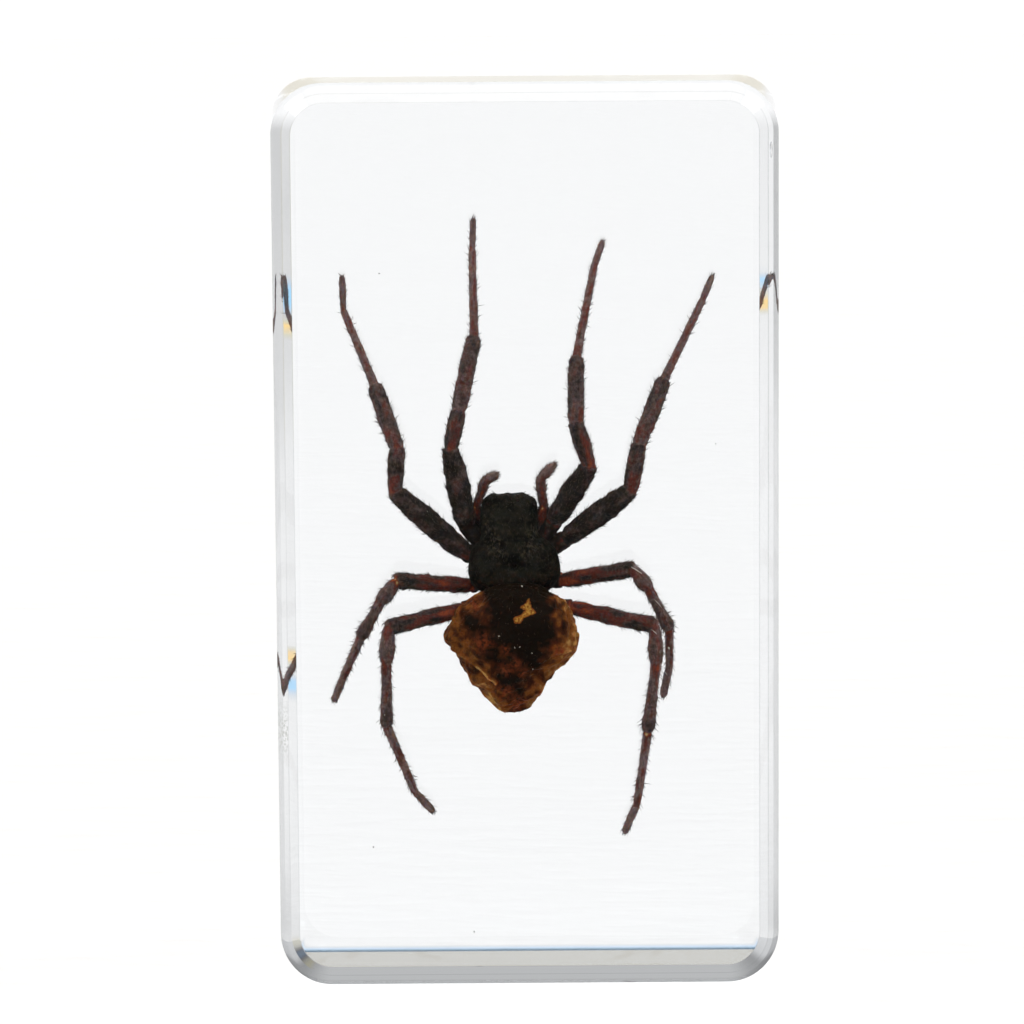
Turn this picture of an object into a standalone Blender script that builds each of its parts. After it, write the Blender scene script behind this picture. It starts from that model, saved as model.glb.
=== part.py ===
"""A clear resin paperweight with an orb-weaver spider cast in it.

Metres, +Z up. The block stands on its short end, its front face towards -Y, and the spider shows
its back through that face, head up. The block is parted at the spider's depth into two halves,
each with its share of the pocket that the spider lies in.
"""

import math

import bmesh
import bpy
from mathutils import Vector

MM = 0.001

# The cast block
BLOCK_WIDTH = 41.0
BLOCK_HEIGHT = 73.0
BLOCK_DEPTH = 20.0
FRONT_CORNER_RADIUS = 4.3
BACK_CORNER_RADIUS = 3.3
BACK_MITRE = 0.9  # how much faster than its inset the ground edge's corner tightens at the back
CORNER_STEPS = 8
SIDE_DRAFT = 0.3  # each side leans out by this much from the front face to the back
FOOT_NARROWER = 0.8  # the block is hand-ground, and its foot is this much narrower than its head
# The ground edge between a face and the sides, from the face outwards: (inset, depth)
EDGE_STEPS = ((1.57, 0.0), (0.85, 0.83), (0.40, 1.25), (0.12, 1.70), (0.0, 2.15))

# Where the block is parted, and the room around the spider
PARTING_Y = 1.2
PART_GAP = 0.3
CLEARANCE = 0.34
BODY_CLEARANCE = 0.41
JAW_CLEARANCE = 0.53

# The spider's joints as (x, y, z): x from the block's middle, y from its mid-depth towards the
# back, z from its foot. Each leg runs coxa, hip, knee, patella end, tibia end, metatarsus end, tip.
LEGS = {
    "left_1": (
        (-3.2, 1.8, 35.2), (-4.9, 0.7, 36.8), (-6.2, -1.9, 43.2), (-5.5, -1.8, 46.2),
        (-4.2, 0.6, 52.2), (-4.3, 3.6, 59.2), (-4.2, 4.1, 61.7),
    ),
    "left_2": (
        (-3.2, 2.0, 34.1), (-5.0, 1.0, 34.6), (-10.7, -1.9, 39.7), (-10.5, -1.6, 43.2),
        (-12.3, 0.7, 48.3), (-14.8, 3.6, 54.3), (-14.9, 4.1, 57.1),
    ),
    "left_3": (
        (-3.2, 2.1, 32.5), (-4.6, 1.6, 31.9), (-10.6, -1.2, 32.5), (-11.9, -1.0, 30.8),
        (-13.5, 0.8, 27.9), (-15.0, 3.5, 24.5), (-15.8, 4.1, 22.5),
    ),
    "left_4": (
        (-3.2, 2.5, 30.2), (-5.2, 1.2, 30.0), (-11.3, -1.6, 28.7), (-11.5, -1.3, 25.8),
        (-11.5, 0.7, 20.6), (-9.3, 3.6, 15.1), (-7.8, 4.1, 13.4),
    ),
    "right_1": (
        (0.9, 1.8, 35.3), (2.2, 0.7, 37.2), (5.1, -1.8, 41.7), (4.0, -1.7, 45.2),
        (4.1, 0.6, 50.5), (5.6, 3.6, 57.8), (6.3, 4.1, 59.8),
    ),
    "right_2": (
        (0.9, 2.0, 34.4), (3.1, 1.1, 35.7), (8.4, -1.8, 39.7), (9.1, -1.6, 43.4),
        (11.2, 0.7, 48.6), (14.4, 3.6, 55.0), (15.2, 4.1, 56.9),
    ),
    "right_3": (
        (0.9, 2.1, 32.5), (2.8, 1.6, 32.3), (8.6, -1.2, 33.3), (9.8, -1.3, 31.7),
        (11.5, 0.8, 28.4), (11.5, 3.3, 25.1), (11.0, 4.1, 22.7),
    ),
    "right_4": (
        (1.2, 2.5, 30.1), (3.5, 1.2, 30.1), (10.3, -1.6, 28.7), (10.4, -1.3, 25.6),
        (9.7, 0.7, 20.0), (8.8, 3.6, 13.9), (7.8, 4.1, 11.6),
    ),
}
# Thickest radius of each leg section, of the two front pairs and of the two rear pairs
FRONT_LEG_RADII = (0.80, 0.95, 0.60, 0.58, 0.36, 0.30)
REAR_LEG_RADII = (0.70, 0.64, 0.56, 0.50, 0.36, 0.33)
# Shape of one leg section: (share of its length, share of its radius)
SECTION_SHAPE = ((0.03, 0.74), (0.2, 0.95), (0.55, 1.0), (0.88, 0.92))
PLAIN_SECTION = ((0.03, 1.0), (0.88, 0.97))  # the room around one leg section
LEG_SIDES = 8
ROOM_LIMB_SIDES = 6

PALPS = {
    "left_palp": (
        (-3.3, 1.5, 36.5), (-4.15, 0.8, 38.4), (-3.7, 0.2, 39.5), (-3.4, 0.0, 40.5), (-2.4, 0.9, 41.0),
    ),
    "right_palp": (
        (0.9, 1.5, 36.4), (1.4, 0.8, 38.3), (1.2, 0.2, 39.5), (1.1, 0.0, 40.6), (2.3, 0.9, 41.8),
    ),
}
PALP_RADII = (0.62, 0.38, 0.42, 0.40)

# The body's cross-sections from front to rear: (z, left x, right x, back y, belly y)
HEAD_AND_CHEST = (
    (39.35, -2.3, -0.4, 0.0, 1.2),
    (39.2, -3.2, 0.4, -0.7, 1.8),
    (38.8, -3.6, 0.75, -1.2, 2.1),
    (38.0, -3.75, 0.85, -1.7, 2.2),
    (36.4, -3.75, 0.85, -1.9, 2.3),
    (35.6, -3.9, 1.6, -1.8, 2.4),
    (34.8, -4.6, 2.4, -1.7, 2.5),
    (33.2, -4.8, 2.7, -1.6, 2.6),
    (32.3, -4.6, 2.4, -1.3, 2.5),
    (31.6, -4.0, 1.8, -0.7, 2.3),
    (30.8, -2.2, -0.1, 0.3, 1.8),
)
ABDOMEN = (
    (32.2, -2.3, 0.2, -1.7, -0.4),
    (31.8, -3.3, 1.3, -2.1, 0.8),
    (31.2, -4.1, 2.2, -2.5, 1.7),
    (30.6, -4.9, 3.1, -2.8, 2.1),
    (29.8, -5.7, 3.6, -3.0, 2.4),
    (28.8, -6.4, 4.0, -3.1, 2.8),
    (27.7, -6.7, 4.25, -2.9, 3.0),
    (26.5, -5.9, 3.9, -2.5, 3.1),
    (25.4, -5.4, 2.6, -2.1, 3.1),
    (24.4, -4.8, 1.6, -1.6, 3.0),
    (23.4, -4.0, 1.1, -1.0, 2.8),
    (22.5, -3.1, 0.3, -0.3, 2.4),
    (21.85, -2.4, -0.6, 0.4, 1.9),
)
BODY_SIDES = 20
ROOM_BODY_SIDES = 12
WRINKLES = 0.045  # how far the abdomen's dried folds stand out, as a share of its radius
HIGHEST_FOLD = 1.6  # where its two sets of folds stand out together, as a share of WRINKLES
# The two fangs' bases and the silk glands: (centre, size along x, y and z)
JAWS = {
    "left_jaw": ((-2.0, 1.5, 38.4), (0.85, 1.3, 1.0)),
    "right_jaw": ((-0.2, 1.5, 38.3), (0.85, 1.3, 1.0)),
}
SPINNERET_TIPS = ((-2.3, 2.5, 22.3), (-1.6, 2.7, 22.1), (-0.9, 2.5, 22.3))
SPINNERET_ROOT = (-1.5, 1.6, 23.4)
SPINNERET_RADII = (0.55, 0.30)
SPINNERET_SIDES = 6


def clear_scene():
    for obj in list(bpy.data.objects):
        bpy.data.objects.remove(obj, do_unlink=True)


def material(name, color, roughness, alpha=1.0, transmission=0.0):
    """A plain Principled surface; color is linear RGB."""
    made = bpy.data.materials.new(name)
    made.use_nodes = True
    shader = made.node_tree.nodes["Principled BSDF"]
    shader.inputs["Base Color"].default_value = (*color, 1.0)
    shader.inputs["Roughness"].default_value = roughness
    shader.inputs["Metallic"].default_value = 0.0
    shader.inputs["Alpha"].default_value = alpha
    shader.inputs["Transmission Weight"].default_value = transmission
    return made


def object_from_rings(name, rings, finish):
    """A closed solid through rings of points in millimetres, its two ends filled."""
    mesh = bmesh.new()
    loops = [[mesh.verts.new(Vector(point) * MM) for point in ring] for ring in rings]
    count = len(loops[0])
    for first, second in zip(loops, loops[1:]):
        for i in range(count):
            j = (i + 1) % count
            mesh.faces.new((first[i], first[j], second[j], second[i]))
    mesh.faces.new(reversed(loops[0]))
    mesh.faces.new(loops[-1])
    bmesh.ops.recalc_face_normals(mesh, faces=mesh.faces)
    data = bpy.data.meshes.new(name)
    mesh.to_mesh(data)
    mesh.free()
    data.materials.append(finish)
    obj = bpy.data.objects.new(name, data)
    bpy.context.scene.collection.objects.link(obj)
    return obj


def keep_aside(obj, collection):
    """Turns an object into a helper that shapes others and is no part itself."""
    bpy.context.scene.collection.objects.unlink(obj)
    collection.objects.link(obj)
    obj.hide_render = True
    obj.display_type = "WIRE"


def helper_collection(name):
    made = bpy.data.collections.new(name)
    bpy.context.scene.collection.children.link(made)
    made.hide_render = True
    return made


def combine(obj, operation, collection):
    """Joins or cuts obj with everything in the collection at once."""
    modifier = obj.modifiers.new(operation.title(), "BOOLEAN")
    modifier.operation = operation
    modifier.operand_type = "COLLECTION"
    modifier.collection = collection
    modifier.solver = "EXACT"


# ---- the block ----


def block_outline(inset, y):
    """The block's rounded outline at one depth, in millimetres."""
    share = y / BLOCK_DEPTH + 0.5
    half_width = BLOCK_WIDTH / 2 + SIDE_DRAFT * share - inset
    top, bottom = BLOCK_HEIGHT - inset, inset
    radius = FRONT_CORNER_RADIUS + (BACK_CORNER_RADIUS - FRONT_CORNER_RADIUS) * share
    radius -= inset * (1 + BACK_MITRE * share)
    centres = (
        (half_width - radius, top - radius, 0),
        (radius - half_width, top - radius, 1),
        (radius - half_width, bottom + radius, 2),
        (half_width - radius, bottom + radius, 3),
    )
    points = []
    for x, z, quarter in centres:
        for step in range(CORNER_STEPS + 1):
            angle = (quarter + step / CORNER_STEPS) * math.pi / 2
            points.append((x + radius * math.cos(angle), z + radius * math.sin(angle)))
    narrowing = FOOT_NARROWER / BLOCK_WIDTH
    return [(x * (1 - narrowing * (1 - z / BLOCK_HEIGHT)), y, z) for x, z in points]


def resin_half(name, face_side, finish, pocket):
    """One half of the block: face_side is -1 for the front half and 1 for the back half."""
    face_y = face_side * BLOCK_DEPTH / 2
    rings = [block_outline(inset, face_y - face_side * depth) for inset, depth in EDGE_STEPS]
    rings.append(block_outline(0.0, PARTING_Y + face_side * PART_GAP / 2))
    half = object_from_rings(name, rings, finish)
    combine(half, "DIFFERENCE", pocket)
    return half


# ---- the spider ----


def frame_at(tangent):
    """Two unit vectors square to the tangent and to each other."""
    guide = Vector((0, 1, 0)) if abs(tangent.y) < 0.9 else Vector((1, 0, 0))
    side = tangent.cross(guide).normalized()
    return side, tangent.cross(side).normalized()


def tube_rings(path, sides, clearance=0.0):
    """Rings round a path of (centre, radius), drawn round outside the clearance and past both ends."""
    grow = 1 / math.cos(math.pi / sides) if clearance else 1.0
    centres = [centre for centre, _ in path]
    rings = []
    for i, (centre, radius) in enumerate(path):
        before = centres[max(i - 1, 0)]
        after = centres[min(i + 1, len(path) - 1)]
        tangent = (after - before).normalized()
        if clearance and i in (0, len(path) - 1):
            centre = centre + tangent * clearance * (1 if i else -1)
        side, across = frame_at(tangent)
        size = (radius + clearance) * grow
        rings.append(
            [
                centre + size * (side * math.cos(turn) + across * math.sin(turn))
                for turn in (math.tau * k / sides for k in range(sides))
            ]
        )
    return rings


def limb_path(joints, radii, section=SECTION_SHAPE):
    """A jointed limb: each section swells between two narrow joints, and the tip is blunt."""
    points = [Vector(joint) for joint in joints]
    path = []
    for start, end, radius in zip(points, points[1:], radii):
        path += [(start.lerp(end, along), radius * thick) for along, thick in section]
    path.append((points[-1].copy(), radii[-1] * 0.5))
    return path


def body_rings(sections, sides, wrinkles=0.0, clearance=0.0):
    """Oval rings through a body's cross-sections, with dried folds running along it."""
    grow = 1 / math.cos(math.pi / sides) if clearance else 1.0
    rings = []
    last = len(sections) - 1
    for i, (z, left, right, back, belly) in enumerate(sections):
        x, y = (left + right) / 2, (back + belly) / 2
        wide, deep = ((right - left) / 2 + clearance) * grow, ((belly - back) / 2 + clearance) * grow
        lift = clearance * ((i == 0) - (i == last))
        ring = []
        for k in range(sides):
            turn = math.tau * k / sides
            fold = math.sin(3 * turn + 0.6 * z) + 0.6 * math.sin(5 * turn - 1.7 * z)
            size = 1 + wrinkles * (HIGHEST_FOLD if clearance else fold)
            ring.append((x + wide * size * math.cos(turn), y + deep * size * math.sin(turn), z + lift))
        rings.append(ring)
    return rings


def oval_rings(centre, size, sides, clearance=0.0):
    """Rings of an egg shape that stands along z."""
    rings = []
    for step in range(1, 6):
        rise = math.pi * step / 6
        around = math.sin(rise)
        rings.append(
            [
                (
                    centre[0] + (size[0] + clearance) * around * math.cos(turn),
                    centre[1] + (size[1] + clearance) * around * math.sin(turn),
                    centre[2] + (size[2] + clearance) * math.cos(rise),
                )
                for turn in (math.tau * k / sides for k in range(sides))
            ]
        )
    return rings


def spider_shapes(as_room=False):
    """Every shape that the spider is grown from, or the room around it: (name, rings), chest first."""
    limb_sides, body_sides, section = LEG_SIDES, BODY_SIDES, SECTION_SHAPE
    clearance = body_clearance = jaw_clearance = 0.0
    if as_room:
        limb_sides, body_sides, section = ROOM_LIMB_SIDES, ROOM_BODY_SIDES, PLAIN_SECTION
        clearance, body_clearance, jaw_clearance = CLEARANCE, BODY_CLEARANCE, JAW_CLEARANCE
    shapes = [
        ("chest", body_rings(HEAD_AND_CHEST, body_sides, clearance=body_clearance)),
        ("abdomen", body_rings(ABDOMEN, body_sides, WRINKLES, body_clearance)),
    ]
    for name, joints in LEGS.items():
        radii = FRONT_LEG_RADII if name[-1] in "12" else REAR_LEG_RADII
        shapes.append((name, tube_rings(limb_path(joints, radii, section), limb_sides, clearance)))
    for name, joints in PALPS.items():
        path = limb_path(joints, PALP_RADII, section)
        shapes.append((name, tube_rings(path, limb_sides, clearance)))
    for name, (centre, size) in JAWS.items():
        shapes.append((name, oval_rings(centre, size, limb_sides + 2, jaw_clearance)))
    for number, tip in enumerate(SPINNERET_TIPS, 1):
        path = list(zip((Vector(SPINNERET_ROOT), Vector(tip)), SPINNERET_RADII))
        shapes.append((f"spinneret_{number}", tube_rings(path, SPINNERET_SIDES, clearance)))
    return shapes


def spider(finish):
    (name, rings), *grown_on = spider_shapes()
    body = object_from_rings("spider", rings, finish)
    others = helper_collection("grown_on_the_chest")
    for name, rings in grown_on:
        keep_aside(object_from_rings(name, rings, finish), others)
    combine(body, "UNION", others)
    return body


def pocket_around_spider(finish):
    pocket = helper_collection("pocket")
    for name, rings in spider_shapes(as_room=True):
        keep_aside(object_from_rings("room_for_" + name, rings, finish), pocket)
    return pocket


def main():
    clear_scene()
    clear = material("clear_resin", (0.95, 0.97, 0.98), 0.03, alpha=0.25, transmission=1.0)
    skin = material("dried_spider", (0.035, 0.018, 0.010), 0.55)
    pocket = pocket_around_spider(skin)
    resin_half("resin_front", -1, clear, pocket)
    resin_half("resin_back", 1, clear, pocket)
    spider(skin)


main()
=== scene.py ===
"""Looks of the orb-weaver spider that is cast in a clear resin block.

The solids in the frame are the two halves of the block and the whole spider. Here one clear block
stands for the two halves, and the spider is made of skins, eyes, claws and hairs on the same joints.
"""

import math
from collections import namedtuple

import bpy
import numpy as np
from mathutils import Matrix, Vector, noise


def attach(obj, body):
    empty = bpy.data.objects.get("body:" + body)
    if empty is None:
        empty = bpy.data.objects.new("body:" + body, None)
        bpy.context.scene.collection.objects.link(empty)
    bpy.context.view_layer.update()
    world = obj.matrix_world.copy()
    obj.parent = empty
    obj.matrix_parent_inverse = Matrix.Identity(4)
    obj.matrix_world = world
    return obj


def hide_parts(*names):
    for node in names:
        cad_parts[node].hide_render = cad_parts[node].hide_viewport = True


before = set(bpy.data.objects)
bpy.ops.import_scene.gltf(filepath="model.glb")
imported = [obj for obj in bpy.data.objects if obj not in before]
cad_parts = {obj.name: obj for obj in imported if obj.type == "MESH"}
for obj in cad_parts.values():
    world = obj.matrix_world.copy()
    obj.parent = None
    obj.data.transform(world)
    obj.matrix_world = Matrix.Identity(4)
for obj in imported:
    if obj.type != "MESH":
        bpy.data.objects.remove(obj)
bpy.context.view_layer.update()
MM = 0.001
DICE = np.random.default_rng(41)
# No length is divided by less than this, and soft noise moves this far from one seed to the next
LEAST_LENGTH = 1e-12
NOISE_SHIFT = (7.3, 3.1, 5.7)

# ---- measures, in millimetres unless said otherwise ----

# The cast block, as in the solids
BLOCK_WIDTH = 41.0
BLOCK_HEIGHT = 73.0
BLOCK_DEPTH = 20.0
FRONT_CORNER_RADIUS = 4.3
BACK_CORNER_RADIUS = 3.3
LEAST_CORNER_RADIUS = 0.25
BACK_MITRE = 0.9
SIDE_DRAFT = 0.3
FOOT_NARROWER = 0.8
# Steps of the block's outline round a corner, up a side, and across the top or the foot
CORNER_STEPS = 24
SIDE_STEPS = 110
TOP_STEPS = 22
# The ground edge, from the face outwards: its slopes as (inset from the outline where each starts,
# degrees), the insets of its lines, and those of its rings of points
EDGE_SLOPES = ((1.57, 48.3), (1.2, 48.2), (0.85, 48.1), (0.6, 48.3), (0.43, 51), (0.3, 56), (0.15, 66))
EDGE_INNER = 1.57
EDGE_RIDGE = 0.85
EDGE_RIM = 0.43
EDGE_RINGS = (
    1.57, 1.51, 1.4, 1.28, 1.16, 1.04, 0.91, 0.85, 0.79, 0.68, 0.56, 0.46, 0.4, 0.3, 0.2, 0.1, 0.0,
)
GROUND_STRIPS = ("line", "inner", "outer", "rim")
# The rings beside it: how far further in on the face, each with its strip, and how far on along the side
FACE_RINGS = ((0.55, "face"), (0.28, "glow"), (0.12, "shade"), (0.03, "shade"))
SIDE_RING = 0.08
# The ridge isn't quite straight: how far it sways, how wide the swaying band is, over what lengths, and
# the x where it sways sideways in full
FRONT_SWAY = 0.045
BACK_SWAY = 0.003
SWAY_BAND = 0.5
SWAY_LENGTHS = (9.0, 3.0, 9.0)
SWAY_LEVER = 20.0
# Faces that meet more sharply than this, in degrees, keep their crease
BLOCK_CREASE = 12
# How bright the ground strips are painted up the left and right sides, a painted shade of what they
# reflect and bend: (z, share of the light). The lines are painted no brighter than MOST_LINE_LIGHT
PAINTED_STRIP_LIGHT = {
    "left": {
        "line": ((2, 0.9), (5, 0.75), (40, 0.80), (48, 0.56), (60, 0.48), (69.3, 0.5), (70.6, 1)),
        "inner": (
            (2, 0.95), (5, 0.82), (10, 0.895), (19, 0.91), (27, 0.89), (43, 0.86),
            (51, 0.72), (59, 0.705), (63, 0.68), (69.3, 0.715), (70.6, 1),
        ),
        "outer": (
            (2, 0.9), (5, 0.71), (10, 0.84), (19, 0.93), (35, 0.89), (41, 0.86),
            (47, 0.71), (55, 0.67), (63, 0.625), (69.3, 0.62), (70.6, 1),
        ),
        "rim": (
            (2, 0.9), (5, 0.70), (10, 0.77), (35, 0.84), (47, 0.70), (63, 0.63), (69.3, 0.62), (70.6, 1),
        ),
    },
    "right": {
        "line": ((2, 0.9), (5, 0.68), (40, 0.66), (52, 0.6), (69.3, 0.6), (70.6, 1)),
        "inner": (
            (2, 1), (5, 0.86), (10, 0.895), (19, 0.955), (43, 0.925), (51, 0.885), (69.3, 0.86), (70.6, 1),
        ),
        "outer": (
            (2, 1), (5, 0.74), (10, 0.84), (19, 0.925), (35, 0.90),
            (43, 0.925), (51, 0.88), (69.3, 0.89), (70.6, 1),
        ),
        "rim": (
            (2, 0.8), (5, 0.58), (9, 0.73), (27, 0.74), (43, 0.79),
            (51, 0.60), (58, 0.51), (69.3, 0.51), (70.6, 1),
        ),
    },
}
MOST_LINE_LIGHT = 0.87
# Painted tints, for the colours that the edge reflects and bends, go from 1, blue, through 0, grey, to -1,
# amber, and -2, orange. The left line's, from a height up:
WARM_LINE_FROM = 44.0
WARM_LINE_TINT = -0.5
# The painted shade and painted tint on the top side, and by strip round the lower end of the back face,
# where a painted glow and a painted dark line stand for what that edge reflects
TOP_SIDE = (0.3, -0.9)
TOP_SIDE_HEIGHT = 0.3
BACK_EDGE = {"glow": (0.5, 1.0), "shade": (0.97, 0.1), "line": (0.9, 0.0)}
BACK_EDGE_HEIGHT = 2.5
# The painted shade of the lower corners, half-way round
CORNER_PAINTED_SHADE = 0.36
# The painted dark patch round the lower left corner, a painted reflection, and its painted amber rims:
# degrees from the side, the painted shade of each and its tint, and how many degrees wide they are
CORNER_PATCH = ((27, 37), 0.80, 0.03)
CORNER_PATCH_RIMS = ((12, 52), 0.20, -0.9)
CORNER_PATCH_WIDTH = 7
# Painted reflections of the legs in the inner strips, with painted rainbow fringes beside them: (z,
# half-height, tint, painted shade)
PAINTED_FRINGES = {
    "left": (
        (55.8, 1.3, 1.0, 0.88), (53.4, 0.6, -2.0, 0.93), (26.7, 0.7, -2.0, 0.90), (24.4, 0.8, 1.0, 0.80),
    ),
    "right": ((56.9, 0.6, 1.0, 0.80), (55.1, 0.8, -2.0, 0.92)),
}
# The scuffed place low on the left ground edge
SCUFF_HEIGHT = 20.7
SCUFF_REACH = 1.9
RESIN_IOR = 1.56
# Dust cast in the resin, and the long bubble by the right edge: places (x, y, z) and half-sizes
SPECKS = (
    ((-11.8, -7.5, 57.6), (0.06, 0.05, 0.05)),
    ((-12.6, -8.0, 11.2), (0.07, 0.05, 0.06)),
    ((-4.5, -7.0, 4.2), (0.05, 0.05, 0.08)),
    ((15.3, -6.0, 43.6), (0.05, 0.05, 0.04)),
)
BUBBLE_AT = (19.75, -8.6, 67.4)
BUBBLE_SIZE = (0.15, 0.10, 0.65)

# The camera: how far it stands off the front face, to which side, how high, the height that it looks at,
# its roll, and its lens and sensor
CAMERA_DISTANCE = 1040.0
CAMERA_X = -1.21
CAMERA_HEIGHT = 103.3
LOOKS_AT_HEIGHT = 38.35
CAMERA_ROLL = math.radians(0.38)
CAMERA_LENS = 454.2
SENSOR_WIDTH = 36.0
# How near and how far the camera sees, in metres
CAMERA_CLIPS = (0.01, 20.0)

# How bright the studio is: at the sides, more so on the wall ahead, behind the block, under the soft
# lamps, straight up, and in the dark beside the camera
SIDE_LIGHT = 0.80
WALL_LIGHT = 0.30
BACK_LIGHT = 0.54
LAMP_LIGHT = 3.0
ZENITH_LIGHT = 0.92
DARK_BY_CAMERA = 0.03
FLOOR_REACH = 3000.0
FLOOR_DROP = 0.02

# The spider's joints as (x, y, z), as in the solids: coxa, hip, knee, patella end, tibia end,
# metatarsus end, tip
LEGS = {
    "left_1": (
        (-3.2, 1.8, 35.2), (-4.9, 0.7, 36.8), (-6.2, -1.9, 43.2), (-5.5, -1.8, 46.2),
        (-4.2, 0.6, 52.2), (-4.3, 3.6, 59.2), (-4.2, 4.1, 61.7),
    ),
    "left_2": (
        (-3.2, 2.0, 34.1), (-5.0, 1.0, 34.6), (-10.7, -1.9, 39.7), (-10.5, -1.6, 43.2),
        (-12.3, 0.7, 48.3), (-14.8, 3.6, 54.3), (-14.9, 4.1, 57.1),
    ),
    "left_3": (
        (-3.2, 2.1, 32.5), (-4.6, 1.6, 31.9), (-10.6, -1.2, 32.5), (-11.9, -1.0, 30.8),
        (-13.5, 0.8, 27.9), (-15.0, 3.5, 24.5), (-15.8, 4.1, 22.5),
    ),
    "left_4": (
        (-3.2, 2.5, 30.2), (-5.2, 1.2, 30.0), (-11.3, -1.6, 28.7), (-11.5, -1.3, 25.8),
        (-11.5, 0.7, 20.6), (-9.3, 3.6, 15.1), (-7.8, 4.1, 13.4),
    ),
    "right_1": (
        (0.9, 1.8, 35.3), (2.2, 0.7, 37.2), (5.1, -1.8, 41.7), (4.0, -1.7, 45.2),
        (4.1, 0.6, 50.5), (5.6, 3.6, 57.8), (6.3, 4.1, 59.8),
    ),
    "right_2": (
        (0.9, 2.0, 34.4), (3.1, 1.1, 35.7), (8.4, -1.8, 39.7), (9.1, -1.6, 43.4),
        (11.2, 0.7, 48.6), (14.4, 3.6, 55.0), (15.2, 4.1, 56.9),
    ),
    "right_3": (
        (0.9, 2.1, 32.5), (2.8, 1.6, 32.3), (8.6, -1.2, 33.3), (9.8, -1.3, 31.7),
        (11.5, 0.8, 28.4), (11.5, 3.3, 25.1), (11.0, 4.1, 22.7),
    ),
    "right_4": (
        (1.2, 2.5, 30.1), (3.5, 1.2, 30.1), (10.3, -1.6, 28.7), (10.4, -1.3, 25.6),
        (9.7, 0.7, 20.0), (8.8, 3.6, 13.9), (7.8, 4.1, 11.6),
    ),
}
# The palps' joints, from the jaws outwards
PALPS = {
    "left_palp": (
        (-3.3, 1.5, 36.5), (-4.15, 0.8, 38.4), (-3.7, 0.2, 39.5), (-3.4, 0.0, 40.5), (-2.4, 0.9, 41.0),
    ),
    "right_palp": (
        (0.9, 1.5, 36.4), (1.4, 0.8, 38.3), (1.2, 0.2, 39.5), (1.1, 0.0, 40.6), (2.3, 0.9, 41.8),
    ),
}
# The sections of a limb, from the body outwards: the radius, how that swells as (share of the length,
# share of the radius), and from start to end how red the skin is, partly its own red-brown and partly a
# painted glow, and how thin it is, where the light that shines through is painted in as paler colour
Section = namedtuple("Section", "radius swell red thin")
FRONT_LEG = (
    Section(0.80, ((0, 1.0), (0.5, 1.0), (1, 0.95)), (0.15, 0.40), (0.03, 0.05)),
    Section(
        0.94, ((0, 0.78), (0.15, 0.92), (0.5, 1.02), (0.75, 0.95), (0.92, 0.80), (1, 0.72)),
        (0.26, 0.16), (0.10, 0.12),
    ),
    Section(0.66, ((0, 0.86), (0.5, 1.05), (1, 0.96)), (0.56, 0.36), (0.36, 0.30)),
    Section(
        0.66, ((0, 0.92), (0.3, 1.0), (0.7, 1.02), (0.9, 0.98), (0.97, 0.86), (1, 0.66)),
        (0.46, 0.30), (0.48, 0.30),
    ),
    Section(
        0.33, ((0, 1.20), (0.12, 1.06), (0.5, 0.96), (0.9, 0.90), (1, 0.86)),
        (0.40, 0.44), (0.62, 0.76),
    ),
    Section(
        0.27, ((0, 0.92), (0.4, 1.02), (0.8, 1.0), (0.94, 0.84), (1, 0.62)),
        (0.38, 0.10), (0.70, 0.56),
    ),
)
REAR_LEG = (
    Section(0.70, ((0, 1.0), (0.5, 1.0), (1, 0.95)), (0.10, 0.40), (0.03, 0.12)),
    Section(
        0.66, ((0, 0.85), (0.2, 0.98), (0.8, 1.0), (0.95, 1.04), (1, 0.92)),
        (0.95, 0.26), (0.34, 0.17),
    ),
    Section(
        0.60, ((0, 0.74), (0.3, 0.92), (0.6, 1.08), (0.85, 0.95), (1, 0.80)),
        (0.42, 0.42), (0.56, 0.54),
    ),
    Section(
        0.50, ((0, 0.84), (0.3, 0.82), (0.6, 0.90), (0.85, 1.10), (0.95, 1.06), (1, 0.84)),
        (0.58, 0.20), (0.80, 0.38),
    ),
    Section(
        0.335, ((0, 1.20), (0.15, 1.08), (0.5, 0.98), (0.9, 0.96), (1, 0.90)),
        (0.48, 0.42), (1.0, 0.95),
    ),
    Section(
        0.31, ((0, 0.92), (0.4, 1.02), (0.8, 1.02), (0.94, 0.92), (1, 0.72)),
        (0.36, 0.12), (0.85, 0.62),
    ),
)
PALP = (
    Section(0.75, ((0, 1), (0.6, 0.9), (1, 0.5)), (0.0, 0.60), (0.03, 0.2)),
    Section(0.36, ((0, 0.9), (0.5, 1.05), (1, 0.95)), (0.85, 0.5), (0.5, 0.6)),
    Section(0.40, ((0, 0.9), (0.5, 1.05), (1, 0.95)), (0.5, 0.4), (0.6, 0.7)),
    Section(0.38, ((0, 0.92), (0.4, 1.05), (0.8, 0.95), (1, 0.55)), (0.40, 0.25), (0.7, 0.9)),
)
# The joints whose torn, pale membrane shows: by leg, the number of the section that starts there
PALE_JOINTS = {"left_3": 2, "right_4": 4}
# A limb's mesh: points round it, the distance of its rings, and the fewest rings of a section
LIMB_SIDES = 20
LIMB_RING_STEP = 0.10
LIMB_FEWEST_RINGS = 8
# How much a joint draws the limb in, and a pale one, over how many radii; and how far a section bows
# towards the back of the spider, as a share of its length
JOINT_PINCH = 0.10
PALE_JOINT_PINCH = 0.35
PINCH_RADII = 0.6
SECTION_BOW = 0.018
# The skin at a joint: how many radii it reaches outwards and inwards, how much redder and thinner it is,
# which is painted glow of the light through the joint, and how red a pale one is over how many millimetres
JOINT_RADII = (0.8, 0.25)
JOINT_RED = 0.20
JOINT_THIN = 0.15
PALE_JOINT_RED = 1.2
PALE_JOINT_REACH = 0.4
# The rounded tip: how many radii it runs on for and how wide its last ring is; then how often the path
# is smoothed
LIMB_TIP = 0.5
LIMB_SMOOTHINGS = 4
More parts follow.
